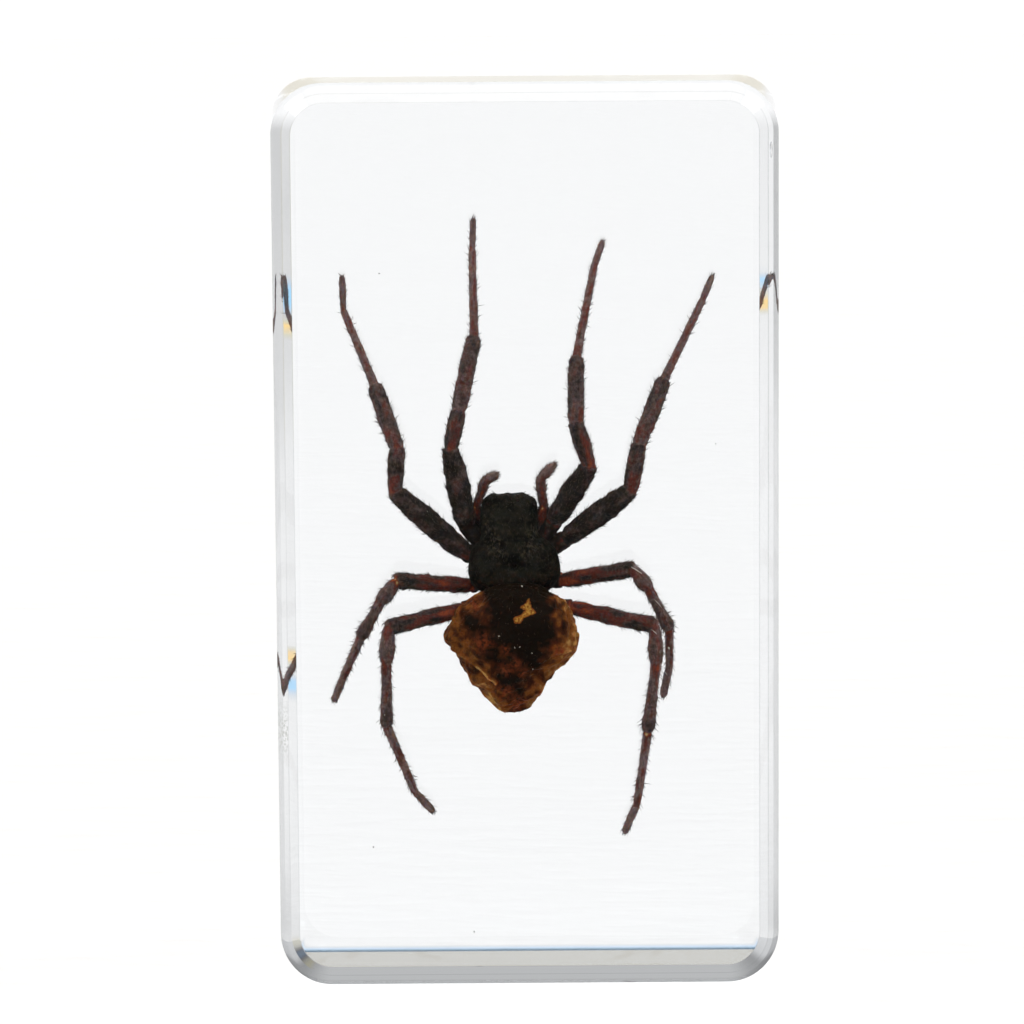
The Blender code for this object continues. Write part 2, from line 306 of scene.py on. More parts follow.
# The red and thin patches of a limb's skin: their size and that of the grain in them, how much they are
# drawn out along the limb, how far round it they reach, how thin they get and how red at most
PATCH_SIZE = 0.40
GRAIN_SIZE = 0.3
PATCH_SHORTENING = 0.30
PATCH_GIRTH = 0.6
PATCH_THIN = 0.38
MOST_RED = 1.6
# Lumps of a limb's skin as (size, height), for a limb of the radius that follows
LIMB_LUMPS = ((0.9, 0.07), (0.35, 0.06), (0.14, 0.02))
LUMPS_RADIUS = 0.6
# Where the limbs' soft noises start
LEG_SEED = 10
SEEDS_PER_LEG = 5
PALP_SEED = 60
# The body's cross-sections from front to rear: (z, left x, right x, back y, belly y)
HEAD_AND_CHEST = (
    (39.35, -2.3, -0.4, 0.0, 1.2),
    (39.2, -3.2, 0.4, -0.7, 1.8),
    (38.8, -3.6, 0.75, -1.2, 2.1),
    (38.0, -3.75, 0.85, -1.7, 2.2),
    (36.4, -3.75, 0.85, -1.9, 2.3),
    (35.6, -3.9, 1.6, -1.8, 2.4),
    (34.8, -4.6, 2.4, -1.7, 2.5),
    (33.2, -4.8, 2.7, -1.6, 2.6),
    (32.3, -4.6, 2.4, -1.3, 2.5),
    (31.6, -4.0, 1.8, -0.7, 2.3),
    (30.8, -2.2, -0.1, 0.3, 1.8),
)
ABDOMEN = (
    (32.2, -2.3, 0.2, -1.7, -0.4),
    (31.8, -3.3, 1.3, -2.1, 0.8),
    (31.2, -4.1, 2.2, -2.5, 1.7),
    (30.6, -4.9, 3.1, -2.8, 2.1),
    (29.8, -5.7, 3.6, -3.0, 2.4),
    (28.8, -6.4, 4.0, -3.1, 2.8),
    (27.7, -6.7, 4.25, -2.9, 3.0),
    (26.5, -5.9, 3.9, -2.5, 3.1),
    (25.4, -5.4, 2.6, -2.1, 3.1),
    (24.4, -4.8, 1.6, -1.6, 3.0),
    (23.4, -4.0, 1.1, -1.0, 2.8),
    (22.5, -3.1, 0.3, -0.3, 2.4),
    (21.85, -2.4, -0.6, 0.4, 1.9),
    (21.60, -1.95, -1.1, 0.8, 1.6),
)
BODY_AXIS_X = -1.15
# How many rings the body's two parts have, and how many points go round
CHEST_MESH = (110, 72)
ABDOMEN_MESH = (200, 264)
# The chest's pit and the crown of the head, on the axis, then the furrows from the pit to each side as
# (height, width, far end), and the lumps as (size, height)
Rise = namedtuple("Rise", "z height width")
CHEST_PIT = Rise(33.5, -0.30, 0.34)
HEAD_CROWN = Rise(38.6, 0.16, 0.55)
CHEST_FURROWS = (
    (-0.20, 0.30, (2.5, 36.7)), (-0.09, 0.22, (3.5, 34.9)), (-0.09, 0.22, (3.6, 33.0)),
    (-0.09, 0.22, (2.7, 31.7)),
)
CHEST_LUMPS = ((0.9, 0.07), (0.3, 0.03))
# The bumps over the eyes: their x, their height and width, and from which z on, over how many millimetres
HEAD_BUMPS = (-2.75, -1.6, -0.4)
HEAD_BUMP_HEIGHT = 0.16
HEAD_BUMP_WIDTH = 0.36
HEAD_BUMPS_FROM = 38.5
HEAD_BUMPS_OVER = 0.7
# The grooves that hold dust, on one side, and how wide the dust lies; where the rust at the rear starts
DUSTY_GROOVE = ((1.2, 34.9), (2.3, 36.9))
DUST_WIDTH = 0.65
RUSTY_BELOW = 33.4
RUSTY_OVER = 1.6
# The abdomen's relief: its bulges as (how many go round, how they turn along z, share of the height), its
# wrinkles, veins and lumps, the long folds as a seam between hollows, how much it has shrunk, and the
# share of its length at each end where all that fades, down to CALM_LEFT of it
BULGES = ((3, 0.6, 1.0), (5, -1.7, 0.6))
BULGE_HEIGHT = 0.12
WRINKLE_SIZE = 2.0
WRINKLE_HEIGHT = 0.36
FINE_WRINKLE_SIZE = 0.75
FINE_WRINKLE_HEIGHT = 0.16
VEIN_WIDTH = 0.05
FINE_VEIN_WIDTH = 0.06
ABDOMEN_LUMPS = ((1.1, 0.16), (0.4, 0.08))
SEAM_HEIGHT = 0.30
SEAM_WIDTH = 0.15
HOLLOW_DEPTH = 0.18
HOLLOW_WIDTH = 0.5
ABDOMEN_SHRINKAGE = 0.10
CALM_END = 0.12
CALM_LEFT = 0.25
# How thin its skin is, from 0 to about 1, as a sum: all over, and what each of its places adds. Thin skin
# is painted amber to straw, a painted glow of the light shining through it over its own amber
THINNER = {
    "all": 0.24,
    "flanks": 0.46,
    "tip": 0.24,
    "right": 0.11,
    "left": -0.10,
    "veins": 0.14,
    "seams": 0.22,
    "pale edge": 0.6,
    "blotches": -0.60,
}
# Where those places are: the half-width that the flanks are shares of, as (z, half-width), and from which
# share they start, over how much; the z and x where the tip, right and left parts start; the pale edge
ABDOMEN_HALF_WIDTHS = ((21, 1.2), (25.4, 4.2), (27.7, 5.6), (31.5, 3.4))
FLANKS_FROM = 0.25
FLANKS_OVER = 0.6
TIP_BELOW = 26.5
TIP_OVER = 4.0
RIGHT_FROM = 1.2
LEFT_FROM = -3.6
PALE_EDGE_WIDTH = 0.07
MOST_THIN = 1.2
# Painted shade on the abdomen's front where the chest lies over it: from which z on in the middle, how
# wide that middle is round its x, how fast it rises beside it, and over what height it fades
CHEST_OVER_FROM = 30.6
CHEST_OVER_X = -0.5
CHEST_OVER_HALF_WIDTH = 1.4
CHEST_OVER_SLOPE = 0.35
CHEST_OVER_FADE = 0.7
# The long folds of the dried abdomen as lines of (x, z), the pale edge of one, the outline of its gold
# star, and its dark blotches and red patches as (x, z, radius)
ABDOMEN_FOLDS = (
    ((-6.0, 27.1), (-5.4, 26.5), (-4.6, 25.9), (-4.1, 25.5), (-3.45, 24.85), (-2.6, 24.1)),
    ((-6.0, 29.3), (-5.3, 28.4)),
    ((2.9, 30.9), (3.4, 29.9), (3.8, 28.6), (3.7, 27.3)),
    ((1.1, 25.9), (2.2, 26.6), (3.5, 26.9)),
)
PALE_EDGE = ((-4.1, 25.5), (-3.45, 24.85), (-2.6, 24.1))
GOLD_STAR = (
    (0.09, 30.98), (0.25, 30.24), (0.65, 29.86), (0.16, 29.68), (-0.36, 29.46), (-0.62, 29.02),
    (-1.04, 29.10), (-1.12, 29.45), (-0.50, 29.68), (-0.13, 30.06), (-0.55, 30.28), (-0.18, 30.55),
)
DARK_BLOTCHES = (
    (-0.3, 27.9, 1.9), (1.0, 28.6, 1.6), (1.3, 30.4, 1.2), (-0.8, 32.0, 2.4), (-4.3, 29.1, 0.9),
    (3.0, 28.7, 0.45), (-1.2, 24.3, 0.9), (-2.9, 26.6, 0.5), (1.7, 24.2, 0.5), (-4.0, 23.2, 0.4),
    (-0.7, 22.9, 0.35),
)
RED_PATCHES = (
    (-1.8, 26.75, 0.4), (-1.9, 25.2, 0.45), (-1.0, 25.6, 0.5), (-0.4, 24.9, 0.35), (-1.8, 23.3, 0.6),
    (-0.9, 22.2, 0.7), (-3.7, 27.4, 0.7), (2.4, 26.8, 0.5), (-4.4, 30.6, 0.5),
)
# Pale specks and threads on the skin, painted glints, as (piece, start (x, z), end (x, z), half-thickness)
FLECKS = (
    ("abdomen", (-2.45, 28.03), (-2.25, 27.95), 0.022), ("abdomen", (-1.1, 27.08), (-0.98, 26.95), 0.018),
    ("abdomen", (-0.70, 27.05), (-0.60, 27.14), 0.020), ("abdomen", (0.28, 26.62), (0.36, 26.53), 0.020),
    ("abdomen", (0.34, 25.26), (0.42, 25.18), 0.018), ("abdomen", (-0.47, 32.04), (-0.40, 31.96), 0.040),
    ("left_2", (-8.15, 38.06), (-8.12, 38.0), 0.030), ("left_1", (-4.5, 60.1), (-4.5, 60.0), 0.030),
    ("right_3", (8.5, 33.45), (9.3, 32.95), 0.018), ("right_3", (10.2, 30.85), (10.9, 30.1), 0.016),
    ("right_3", (11.45, 26.8), (11.5, 26.6), 0.055), ("right_3", (11.1, 24.7), (11.4, 24.4), 0.016),
    ("right_4", (10.0, 28.4), (10.5, 28.0), 0.016), ("left_4", (-11.6, 21.6), (-11.6, 21.5), 0.030),
    ("left_3", (-12.9, 31.2), (-12.6, 31.0), 0.016), ("right_4", (8.5, 13.6), (9.1, 13.7), 0.018),
)
# How far the flecks stand off the skin
FLECK_LIFT = 0.06
EYE_RADIUS = 0.17
EYES = (
    (-1.5, -0.5, 39.25), (-0.8, -0.5, 39.25), (-1.55, -1.1, 38.9), (-0.75, -1.1, 38.9),
    (-2.9, -0.2, 38.95), (0.4, -0.2, 38.9), (-3.15, -0.6, 38.6), (0.6, -0.6, 38.6),
)
# The jaws' middles; both have the same half-sizes
JAWS = ((-2.0, 1.5, 38.4), (-0.2, 1.5, 38.3))
JAW_SIZE = (0.85, 1.3, 1.0)
SPINNERET_TIPS = ((-2.3, 2.5, 22.3), (-1.6, 2.7, 22.1), (-0.9, 2.5, 22.3))
SPINNERET_ROOT = (-1.5, 1.6, 23.4)
# A spinneret's radius as (share of its length, radius), and how thin it is, painted paler as glow of
# the light shining through
SPINNERET_RADII = ((0, 0.55), (0.6, 0.40), (0.9, 0.30), (1, 0.12))
SPINNERET_THIN = 0.45
# How many points go round each small thing
SIDES = {"bubble": 18, "speck": 8, "jaw": 20, "eye": 12, "spinneret": 14, "fleck": 8}
# Coats of hair: how many hairs a skin has, how far they lie down from 0 to 1, their length and thickness,
# and how far they bend as a share of their length
Coat = namedtuple("Coat", "count lean length thickness bend", defaults=(0.25,))
LEG_HAIRS = Coat(1500, 0.64, 0.37, 0.016)
BRISTLES = Coat(84, 0.5, 0.54, 0.028, 0.1)
CLAWS = Coat(3, 0.2, 0.32, 0.045, 0.35)
LEG_DOWN = Coat(1100, 0.90, 0.42, 0.014, 0.1)
PALP_HAIRS = Coat(900, 0.6, 0.36, 0.017)
PALP_DOWN = Coat(400, 0.85, 0.36, 0.014)
ABDOMEN_HAIRS = Coat(700, 0.5, 0.24, 0.014)
CHEST_HAIRS = Coat(1500, 0.6, 0.34, 0.016)
CHEST_DOWN = Coat(260, 0.85, 0.40, 0.014)
# The sections of a leg that have hairs, and those that have bristles
HAIRY_SECTIONS = (1, 2, 3, 4, 5)
SHINS = (3, 4)
# The claws: how far apart and how far on they stand at a leg's tip, how far they spread, which way the
# middle one turns and how much they lean on along the leg
CLAW_APART = 0.11
CLAW_AHEAD = 0.02
CLAW_SPREAD = 0.35
CLAW_DOWN = 0.9
CLAW_LEAN = 0.3
# How much hairs stray in direction and in curl, their shortest and longest as shares of the length, and
# their rings as (share of the length, share of the thickness)
HAIR_WILDNESS = 0.22
HAIR_CURL_WILDNESS = 0.3
HAIR_LENGTHS = (0.6, 1.25)
HAIR_TAPER = ((0.0, 1.0), (0.55, 0.7))
# How deep the hairs' roots are, and a direction that none of them has
HAIR_ROOT_DEPTH = 0.03
HAIR_GUIDE = (0.31, 0.77, 0.55)
# How far from its poles, in radians, a ball's first and last rings are
BALL_CAP = 0.08


# ---- node trees as sums ----


class Value:
    """A socket of a node tree. Sums, products and powers of values add Math nodes."""

    def __init__(self, tree, socket):
        self.tree, self.socket = tree, socket

    def math(self, operation, *terms):
        return self.tree.node("ShaderNodeMath", {"operation": operation}, *terms)

    def __add__(self, other):
        return self.math("ADD", self, other)

    def __sub__(self, other):
        return self.math("SUBTRACT", self, other)

    def __rsub__(self, other):
        return self.math("SUBTRACT", other, self)

    def __neg__(self):
        return 0 - self

    def __mul__(self, other):
        return self.math("MULTIPLY", self, other)

    def __truediv__(self, other):
        return self.math("DIVIDE", self, other)

    def __pow__(self, other):
        return self.math("POWER", self, other)

    __radd__ = __add__
    __rmul__ = __mul__

    def step(self, low, high):
        """0 below low and 1 above high, with a smooth change between them."""
        settings = {"interpolation_type": "SMOOTHSTEP"}
        return self.tree.node("ShaderNodeMapRange", settings, self, low, high, 0.0, 1.0)


class Tree:
    """A node tree that is filled by calls: node() makes any node, and the rest are short forms."""

    def __init__(self, tree):
        self.tree = tree

    def node(self, kind, settings=None, *inputs, out=0, **named):
        """Adds a node, fills its sockets in order and then by name, and gives one of its outputs."""
        made = self.tree.nodes.new(kind)
        for key, setting in (settings or {}).items():
            setattr(made, key, setting)
        for index, value in enumerate(inputs):
            self.feed(made.inputs[index], value)
        for key, value in named.items():
            self.feed(made.inputs[key], value)
        return Value(self, made.outputs[out])

    def feed(self, socket, value):
        """Links a value to a socket, or sets the socket, or leaves it as it is if the value is None."""
        if isinstance(value, Value):
            self.tree.links.new(value.socket, socket)
        elif value is not None:
            is_color = socket.type == "RGBA"
            socket.default_value = (*value, 1.0) if is_color else value

    def place(self):
        """Where a point is, in metres in the frame."""
        return self.node("ShaderNodeTexCoord", out="Object")

    def drawn(self, name):
        """A number that the piece's mesh holds for each of its points."""
        return self.node("ShaderNodeAttribute", {"attribute_name": name}, out="Fac")

    def cloud(self, size, detail=3.0, stretch=None):
        """Soft noise from 0 to 1 whose blotches are about size millimetres wide."""
        where = self.place()
        if stretch:
            where = self.node("ShaderNodeVectorMath", {"operation": "MULTIPLY"}, where, stretch)
        return self.node("ShaderNodeTexNoise", {}, where, Scale=1 / (size * MM), Detail=detail)

    def cells(self, size):
        """Distance from the nearest of points scattered size millimetres apart, from 0 to about 1."""
        return self.node("ShaderNodeTexVoronoi", {}, self.place(), Scale=1 / (size * MM))

    def blend(self, share, first, second):
        """The first colour, turning into the second one as share goes from 0 to 1."""
        for_numbers_and_vectors = [None] * 5
        sockets = (share, *for_numbers_and_vectors, first, second)
        return self.node("ShaderNodeMix", {"data_type": "RGBA"}, *sockets, out=2)

    def bump(self, height, depth):
        """A normal bent by height, where a height of 1 stands depth millimetres out."""
        return self.node("ShaderNodeBump", {}, Strength=1.0, Distance=depth * MM, Height=height)


class Finish(Tree):
    """A material with one Principled surface."""

    def __init__(self, name):
        self.material = bpy.data.materials.new(name)
        self.material.use_nodes = True
        super().__init__(self.material.node_tree)

    def surface_is(self, **sockets):
        """Fills the surface's sockets, with _ for the spaces in their names, and gives the material."""
        surface = self.tree.nodes["Principled BSDF"]
        for name, value in sockets.items():
            self.feed(surface.inputs[name.replace("_", " ")], value)
        return self.material

    def filled_with(self, volume):
        """Fills the inside of what has this finish."""
        self.feed(self.tree.nodes["Material Output"].inputs["Volume"], volume)


# ---- finishes ----


def clear_resin():
    """Water-clear cast resin, polished on the faces, with painted shade and painted tints on the ground
    edges for what they reflect and bend.
    """
    f = Finish("clear_resin")
    clear, grey, blue = (1.0, 1.0, 1.0), (0.020, 0.021, 0.028), (0.02, 0.45, 1.0)
    amber, orange, scratched = (0.35, 0.28, 0.02), (1.0, 0.48, 0.01), (0.42, 0.42, 0.38)
    # painted shade and painted tints on the ground edges, for what they reflect and bend
    tint = f.drawn("painted_tint")
    warmth = -tint
    tinted = f.blend(warmth, f.blend(tint, grey, blue), f.blend(warmth - 1, amber, orange))
    color = f.blend(f.drawn("painted_shade"), clear, tinted)
    scuff = f.drawn("scuff") * f.cloud(0.20, 4.0).step(0.47, 0.56)
    haze = f.drawn("ground") * f.cloud(0.5, 2.0).step(0.45, 0.8) * 0.03
    f.filled_with(f.node("ShaderNodeVolumeAbsorption", {}, (0.287, 0.58, 0.89), 3.0))
    return f.surface_is(
        Base_Color=f.blend(scuff, color, scratched),
        Roughness=haze + scuff * 0.2,
        Transmission_Weight=1.0,
        IOR=RESIN_IOR,
        Normal=f.bump(f.cloud(6.0, 1.0), 0.004),
    )


def translucent_skin(f, color, roughness, relief, scale):
    """Dried skin set in resin: it hardly shines, and light gets through where it is thin."""
    return f.surface_is(
        Base_Color=color,
        Roughness=roughness,
        Normal=relief,
        Specular_IOR_Level=0.02,
        Subsurface_Weight=1.0,
        Subsurface_Radius=(1.0, 0.32, 0.12),
        Subsurface_Scale=scale * MM,
    )


def leg_skin():
    """Nearly black, with painted glow of the light shining through: grey-brown where the leg is thin, and
    red to orange where the skin's own red-brown glows.
    """
    f = Finish("leg_skin")
    black, grey_brown, soot = (0.0150, 0.0128, 0.0105), (0.230, 0.155, 0.145), (0.0150, 0.0110, 0.0095)
    rust, ember, straw = (0.130, 0.0230, 0.0140), (0.29, 0.062, 0.024), (0.62, 0.38, 0.18)
    fine = f.cloud(0.10, 4.0).step(0.38, 0.62)
    streaks = f.cloud(0.16, 3.0, (1.0, 1.0, 0.3)).step(0.35, 0.65)
    spots = f.cloud(0.32, 4.0) - 0.5
    thin = (f.drawn("thin") + 0.80 * spots).step(-0.05, 0.95)
    red = f.drawn("red") - 0.5 * spots
    # paler where thin and redder where red: painted glow of the light shining through over the skin's own
    # colour
    color = f.blend(thin, black, grey_brown)
    color = f.blend(red.step(0.28, 0.66) * 0.80, color, rust)
    color = f.blend(red.step(0.68, 1.10), color, ember)
    color = f.blend(red.step(1.15, 1.50), color, straw)
    color = f.blend(fine * 0.35 + streaks * 0.20, color, soot)
    relief = f.bump(f.cloud(0.10, 4.0) + 0.5 * f.cells(0.08), 0.035)
    return translucent_skin(f, color, 0.5 + 0.2 * fine, relief, 0.12)


def chest_skin():
    """Greenish black, dusty brown in the grooves and rusty towards the rear."""
    f = Finish("chest_skin")
    black, greenish = (0.0034, 0.0032, 0.0024), (0.0125, 0.0112, 0.0082)
    rust, dust = (0.026, 0.0085, 0.0050), (0.060, 0.048, 0.030)
    dusty = f.cloud(0.30, 6.0).step(0.48, 0.68) * (0.20 + 0.80 * f.drawn("dust"))
    rusty = f.drawn("rust") * f.cloud(0.6, 4.0).step(0.48, 0.62) * 0.8
    color = f.blend(f.cloud(1.1, 4.0).step(0.38, 0.62), black, greenish)
    color = f.blend(rusty, color, rust)
    color = f.blend(dusty, color, dust)
    relief = f.bump(f.cloud(0.2, 5.0) + 0.6 * f.cells(0.12), 0.09)
    return translucent_skin(f, color, 0.7, relief, 0.1)


def abdomen_skin():
    """Amber where the dried skin is thin, its own amber with a painted glow of the light through it, nearly
    black where it is full, with red and gold in between.
    """
    f = Finish("abdomen_skin")
    black, rust, amber = (0.0055, 0.0032, 0.0014), (0.040, 0.0100, 0.0028), (0.170, 0.056, 0.0110)
    straw, red, umber = (0.42, 0.205, 0.060), (0.165, 0.034, 0.0100), (0.012, 0.0048, 0.0020)
    dark_gold, bright_gold = (0.20, 0.060, 0.010), (0.44, 0.22, 0.034)
    thin = f.drawn("thin") + 0.6 * (f.cloud(0.8, 6.0) - 0.5)
    fine = f.cloud(0.16, 4.0).step(0.40, 0.66)
    gold = f.drawn("gold")
    # thin skin painted amber to straw: a painted glow over its own amber
    color = f.blend(thin.step(0.12, 0.46), black, rust)
    color = f.blend(thin.step(0.42, 0.78), color, amber)
    color = f.blend(thin.step(0.80, 1.15), color, straw)
    color = f.blend(f.drawn("red") * f.cloud(0.35, 3.0).step(0.36, 0.6), color, red)
    color = f.blend(gold.step(0.15, 0.50), color, dark_gold)
    color = f.blend(gold.step(0.55, 0.95) * f.cloud(0.14, 4.0).step(0.36, 0.62), color, bright_gold)
    color = f.blend(fine * 0.35, color, umber)
    relief = f.bump(f.cloud(0.3, 6.0) + 0.4 * f.cells(0.2), 0.10)
    return translucent_skin(f, color, 0.5 + 0.2 * fine, relief, 0.22)


def plain_finish(name, dark, pale, size, roughness):
    """A finish that drifts between two colours over size millimetres."""
    f = Finish(name)
    color = f.blend(f.cloud(size, 3.0), dark, pale)
    relief = f.bump(f.cloud(size / 4, 2.0), size / 40)
    return f.surface_is(Base_Color=color, Roughness=roughness, Normal=relief, Specular_IOR_Level=0.2)


# ---- making meshes ----


def piece(name, points, faces, finish, drawn=None, crease=None):
    """A mesh object from points in millimetres. drawn holds numbers for its points, by name."""
    data = bpy.data.meshes.new(name)
    data.from_pydata((np.asarray(points, float) * MM).tolist(), [], faces)
    data.materials.append(finish)
    for key, numbers in (drawn or {}).items():
        layer = data.attributes.new(key, "FLOAT", "POINT")
        layer.data.foreach_set("value", np.asarray(numbers, np.float32))
    data.shade_smooth()
    if crease:
        data.set_sharp_from_angle(angle=math.radians(crease))
    obj = bpy.data.objects.new(name, data)
    bpy.context.scene.collection.objects.link(obj)
    return obj


def unit(vectors):
    """The same directions, each one long."""
    return vectors / np.maximum(np.linalg.norm(vectors, axis=-1, keepdims=True), LEAST_LENGTH)


def turns(sides):
    """Angles once round a circle."""
    return np.arange(sides) * math.tau / sides


def spread(stops, shares):
    """Numbers read off a list of (share, number) stops."""
    where, what = zip(*stops)
    return np.interp(shares, where, what)


def smooth_step(numbers):
    """From 0 up to 1, with a soft start and end."""
    t = np.clip(numbers, 0, 1)
    return t * t * (3 - 2 * t)


def bell(away, width):
    """1 where away is 0, falling softly on both sides to a third at one width."""
    return np.exp(-((away / width) ** 2))


def rough(points, size, seed):
    """Soft noise between about -1 and 1 for each point, its lumps about size millimetres wide."""
    shift = Vector([seed * part for part in NOISE_SHIFT])
    heights = [noise.noise(Vector(point) / size + shift) for point in points.reshape(-1, 3)]
    return np.reshape(heights, points.shape[:-1])


def lumps(points, layers, seed):
    """The sum of soft noises, each (size, height)."""
    return sum(rough(points, size, seed + more) * height for more, (size, height) in enumerate(layers))


def wall(start, rings, sides, turned=False):
    """The faces between rings of points that are numbered from start on; turned faces look the other way."""
    faces = []
    for ring in range(rings - 1):
        a, b = start + ring * sides, start + (ring + 1) * sides
        for k in range(sides):
            j = (k + 1) % sides
            first, second = (j, k) if turned else (k, j)
            faces.append((a + first, a + second, b + second, b + first))
    return faces


class Skin:
    """Rings of points that make one closed skin, with numbers drawn on them and places for hairs."""

    def __init__(self, rings):
        self.rings = rings
        self.drawn = {}

    def normals(self):
        along = np.gradient(self.rings, axis=0)
        around = np.roll(self.rings, -1, axis=1) - np.roll(self.rings, 1, axis=1)
        outward = unit(np.cross(around, along))
        middle = self.rings.mean(axis=1, keepdims=True)
        flip = ((self.rings - middle) * outward).sum(axis=(1, 2)) < 0
        outward[flip] *= -1
        return outward

    def swell(self, amounts):
        """Moves each point out by its amount of millimetres."""
        self.rings = self.rings + self.normals() * amounts[..., None]

    def mesh(self, start):
        """(points, faces, numbers by name), its points counted from start, its ends closed to a point."""
        count, sides = self.rings.shape[:2]
        middles = self.rings[[0, -1]].mean(axis=1)
        points = np.vstack([self.rings.reshape(-1, 3), middles])
        faces = wall(start, count, sides)
        last, ends = start + (count - 1) * sides, start + count * sides
        for k in range(sides):
            j = (k + 1) % sides
            faces.append((start + j, start + k, ends))
            faces.append((last + k, last + j, ends + 1))
        if self.turned_in():
            faces = [face[::-1] for face in faces]
        numbers = {
            key: np.concatenate([values.reshape(-1), [values[0].mean(), values[-1].mean()]])
            for key, values in self.drawn.items()
        }
        return points, faces, numbers

    def turned_in(self):
        """Whether a ring's faces, as listed, look inwards."""
        i = len(self.rings) // 2
        ring, after = self.rings[i], self.rings[i + 1]
        first = np.cross(ring[1] - ring[0], after[0] - ring[0])
        return float(first @ (ring[0] - ring.mean(axis=0))) < 0

    def roots(self, how_many, where=None):
        """Random places on the skin as (points, normals, directions along it)."""
        steps = np.gradient(self.rings, axis=0)
        to_next = np.roll(self.rings, -1, axis=1) - self.rings
        weights = np.linalg.norm(steps, axis=2) * np.linalg.norm(to_next, axis=2)
        if where is not None:
            weights = weights * where
        chosen = DICE.choice(weights.size, how_many, p=(weights / weights.sum()).reshape(-1))
        at = np.unravel_index(chosen, weights.shape)
        points = self.rings[at] + to_next[at] * DICE.random((how_many, 1))
        return points, self.normals()[at], unit(steps[at])


def skin_piece(name, skins, finish):
    """One mesh of several skins."""
    points, faces, numbers = [], [], {}
    start = 0
    for skin in skins:
        more, listed, held = skin.mesh(start)
        points.append(more)
        faces += listed
        start += len(more)
        for key, values in held.items():
            numbers.setdefault(key, []).append(values)
    drawn = {key: np.concatenate(values) for key, values in numbers.items()}
    return piece(name, np.vstack(points), faces, finish, drawn)


def tube(centres, radii, sides):
    """A skin round a path."""
    centres, radii = np.asarray(centres, float), np.asarray(radii, float)
    tangents = unit(np.gradient(centres, axis=0))
    guide = np.where(np.abs(tangents[:, 1:2]) < 0.9, [[0.0, 1.0, 0.0]], [[1.0, 0.0, 0.0]])
    side = unit(np.cross(tangents, guide))
    across = unit(np.cross(tangents, side))
    angles = turns(sides)[None, :, None]
    spokes = side[:, None] * np.cos(angles) + across[:, None] * np.sin(angles)
    return Skin(centres[:, None] + radii[:, None, None] * spokes)


def limb_section(number, start, end, part, pale):
    """Rows of (x, y, z, radius, redness, thinness, number) along one section of a limb."""
    length = np.linalg.norm(end - start)
    count = max(LIMB_FEWEST_RINGS, round(length / LIMB_RING_STEP))
    share = (np.arange(count) + 0.5) / count
    away, left = share * length, (1 - share) * length
    pinch = PALE_JOINT_PINCH if pale else JOINT_PINCH
    waist = 1 - pinch * (1 - smooth_step(away / (PINCH_RADII * part.radius)))
    bow = np.sin(math.pi * share) * SECTION_BOW * length
    centre = start + (end - start) * share[:, None] - np.array([0, 1, 0]) * bow[:, None]
    outwards, inwards = JOINT_RADII
    joint = np.maximum(1 - away / (outwards * part.radius), 1 - left / (inwards * part.radius)).clip(0, 1)
    size = part.radius * spread(part.swell, share) * waist
    red, thin = (first + (last - first) * share for first, last in (part.red, part.thin))
    red += JOINT_RED * joint + float(pale) * PALE_JOINT_RED * (1 - away / PALE_JOINT_REACH).clip(0, 1)
    return np.column_stack([centre, size, red, thin + JOINT_THIN * joint, share * 0 + number])


def limb(joints, sections, seed, pale_joint=None):
    """A jointed limb as one skin: each section swells and is a little pinched where it meets the next."""
    joints = np.asarray(joints, float)
    parts = enumerate(zip(joints, joints[1:], sections))
    rows = [limb_section(number, *part, number == pale_joint) for number, part in parts]
    rows = np.vstack(rows)
    tip = rows[-1].copy()
    tip[:3] += unit(rows[-1, :3] - rows[-2, :3]) * tip[3] * LIMB_TIP
    tip[3] *= LIMB_TIP
    rows = np.vstack([rows, tip])
    centres, (sizes, red, thin, section) = rows[:, :3].copy(), rows[:, 3:].T
    for _ in range(LIMB_SMOOTHINGS):
        centres[1:-1] = (centres[:-2] + 2 * centres[1:-1] + centres[2:]) / 4
    made = tube(centres, sizes, LIMB_SIDES)
    made.section = section
    made.swell(lumps(made.rings, LIMB_LUMPS, seed) * (sizes / LUMPS_RADIUS)[:, None])
    draw_limb(made, centres, red[:, None], thin[:, None], seed + len(LIMB_LUMPS))
    return made


def draw_limb(skin, centres, red, thin, seed):
    """Draws on a limb's skin how red and how thin it is, in long patches, and a painted glow: redder where
    it faces front and back.
    """
    # painted glow: the sides that face front and back, where the light behind shines through, are redder
    glow_facing = np.abs(skin.normals()[..., 1]) ** 1.5
    far = np.append(0, np.cumsum(np.linalg.norm(np.diff(centres, axis=0), axis=1)))[:, None]
    angles = turns(LIMB_SIDES)
    straight = (far * PATCH_SHORTENING, PATCH_GIRTH * np.cos(angles), PATCH_GIRTH * np.sin(angles))
    straight = np.stack(np.broadcast_arrays(*straight), axis=2)
    patches = rough(straight, PATCH_SIZE, seed) * 0.85 + rough(skin.rings, GRAIN_SIZE, seed + 1) * 0.15
    core = red * (0.55 + 0.45 * glow_facing)
    skin.drawn["red"] = np.clip(core + patches * (0.20 + red).clip(0, 1), 0, MOST_RED)
    skin.drawn["thin"] = np.clip(np.repeat(thin, LIMB_SIDES, axis=1) + PATCH_THIN * patches, 0, 1)


def along_curve(rows, count):
    """Rows of numbers read off a smooth curve through all of them."""
    rows = np.asarray(rows, float)
    padded = np.vstack([2 * rows[0] - rows[1], rows, 2 * rows[-1] - rows[-2]])
    at = np.linspace(0, len(rows) - 1 - 1e-9, count)
    i = at.astype(int)
    t = (at - i)[:, None]
    a, b, c, d = (padded[i + k] for k in range(4))
    return 0.5 * (2 * b + (c - a) * t + (2 * a - 5 * b + 4 * c - d) * t**2 + (3 * b - a - 3 * c + d) * t**3)


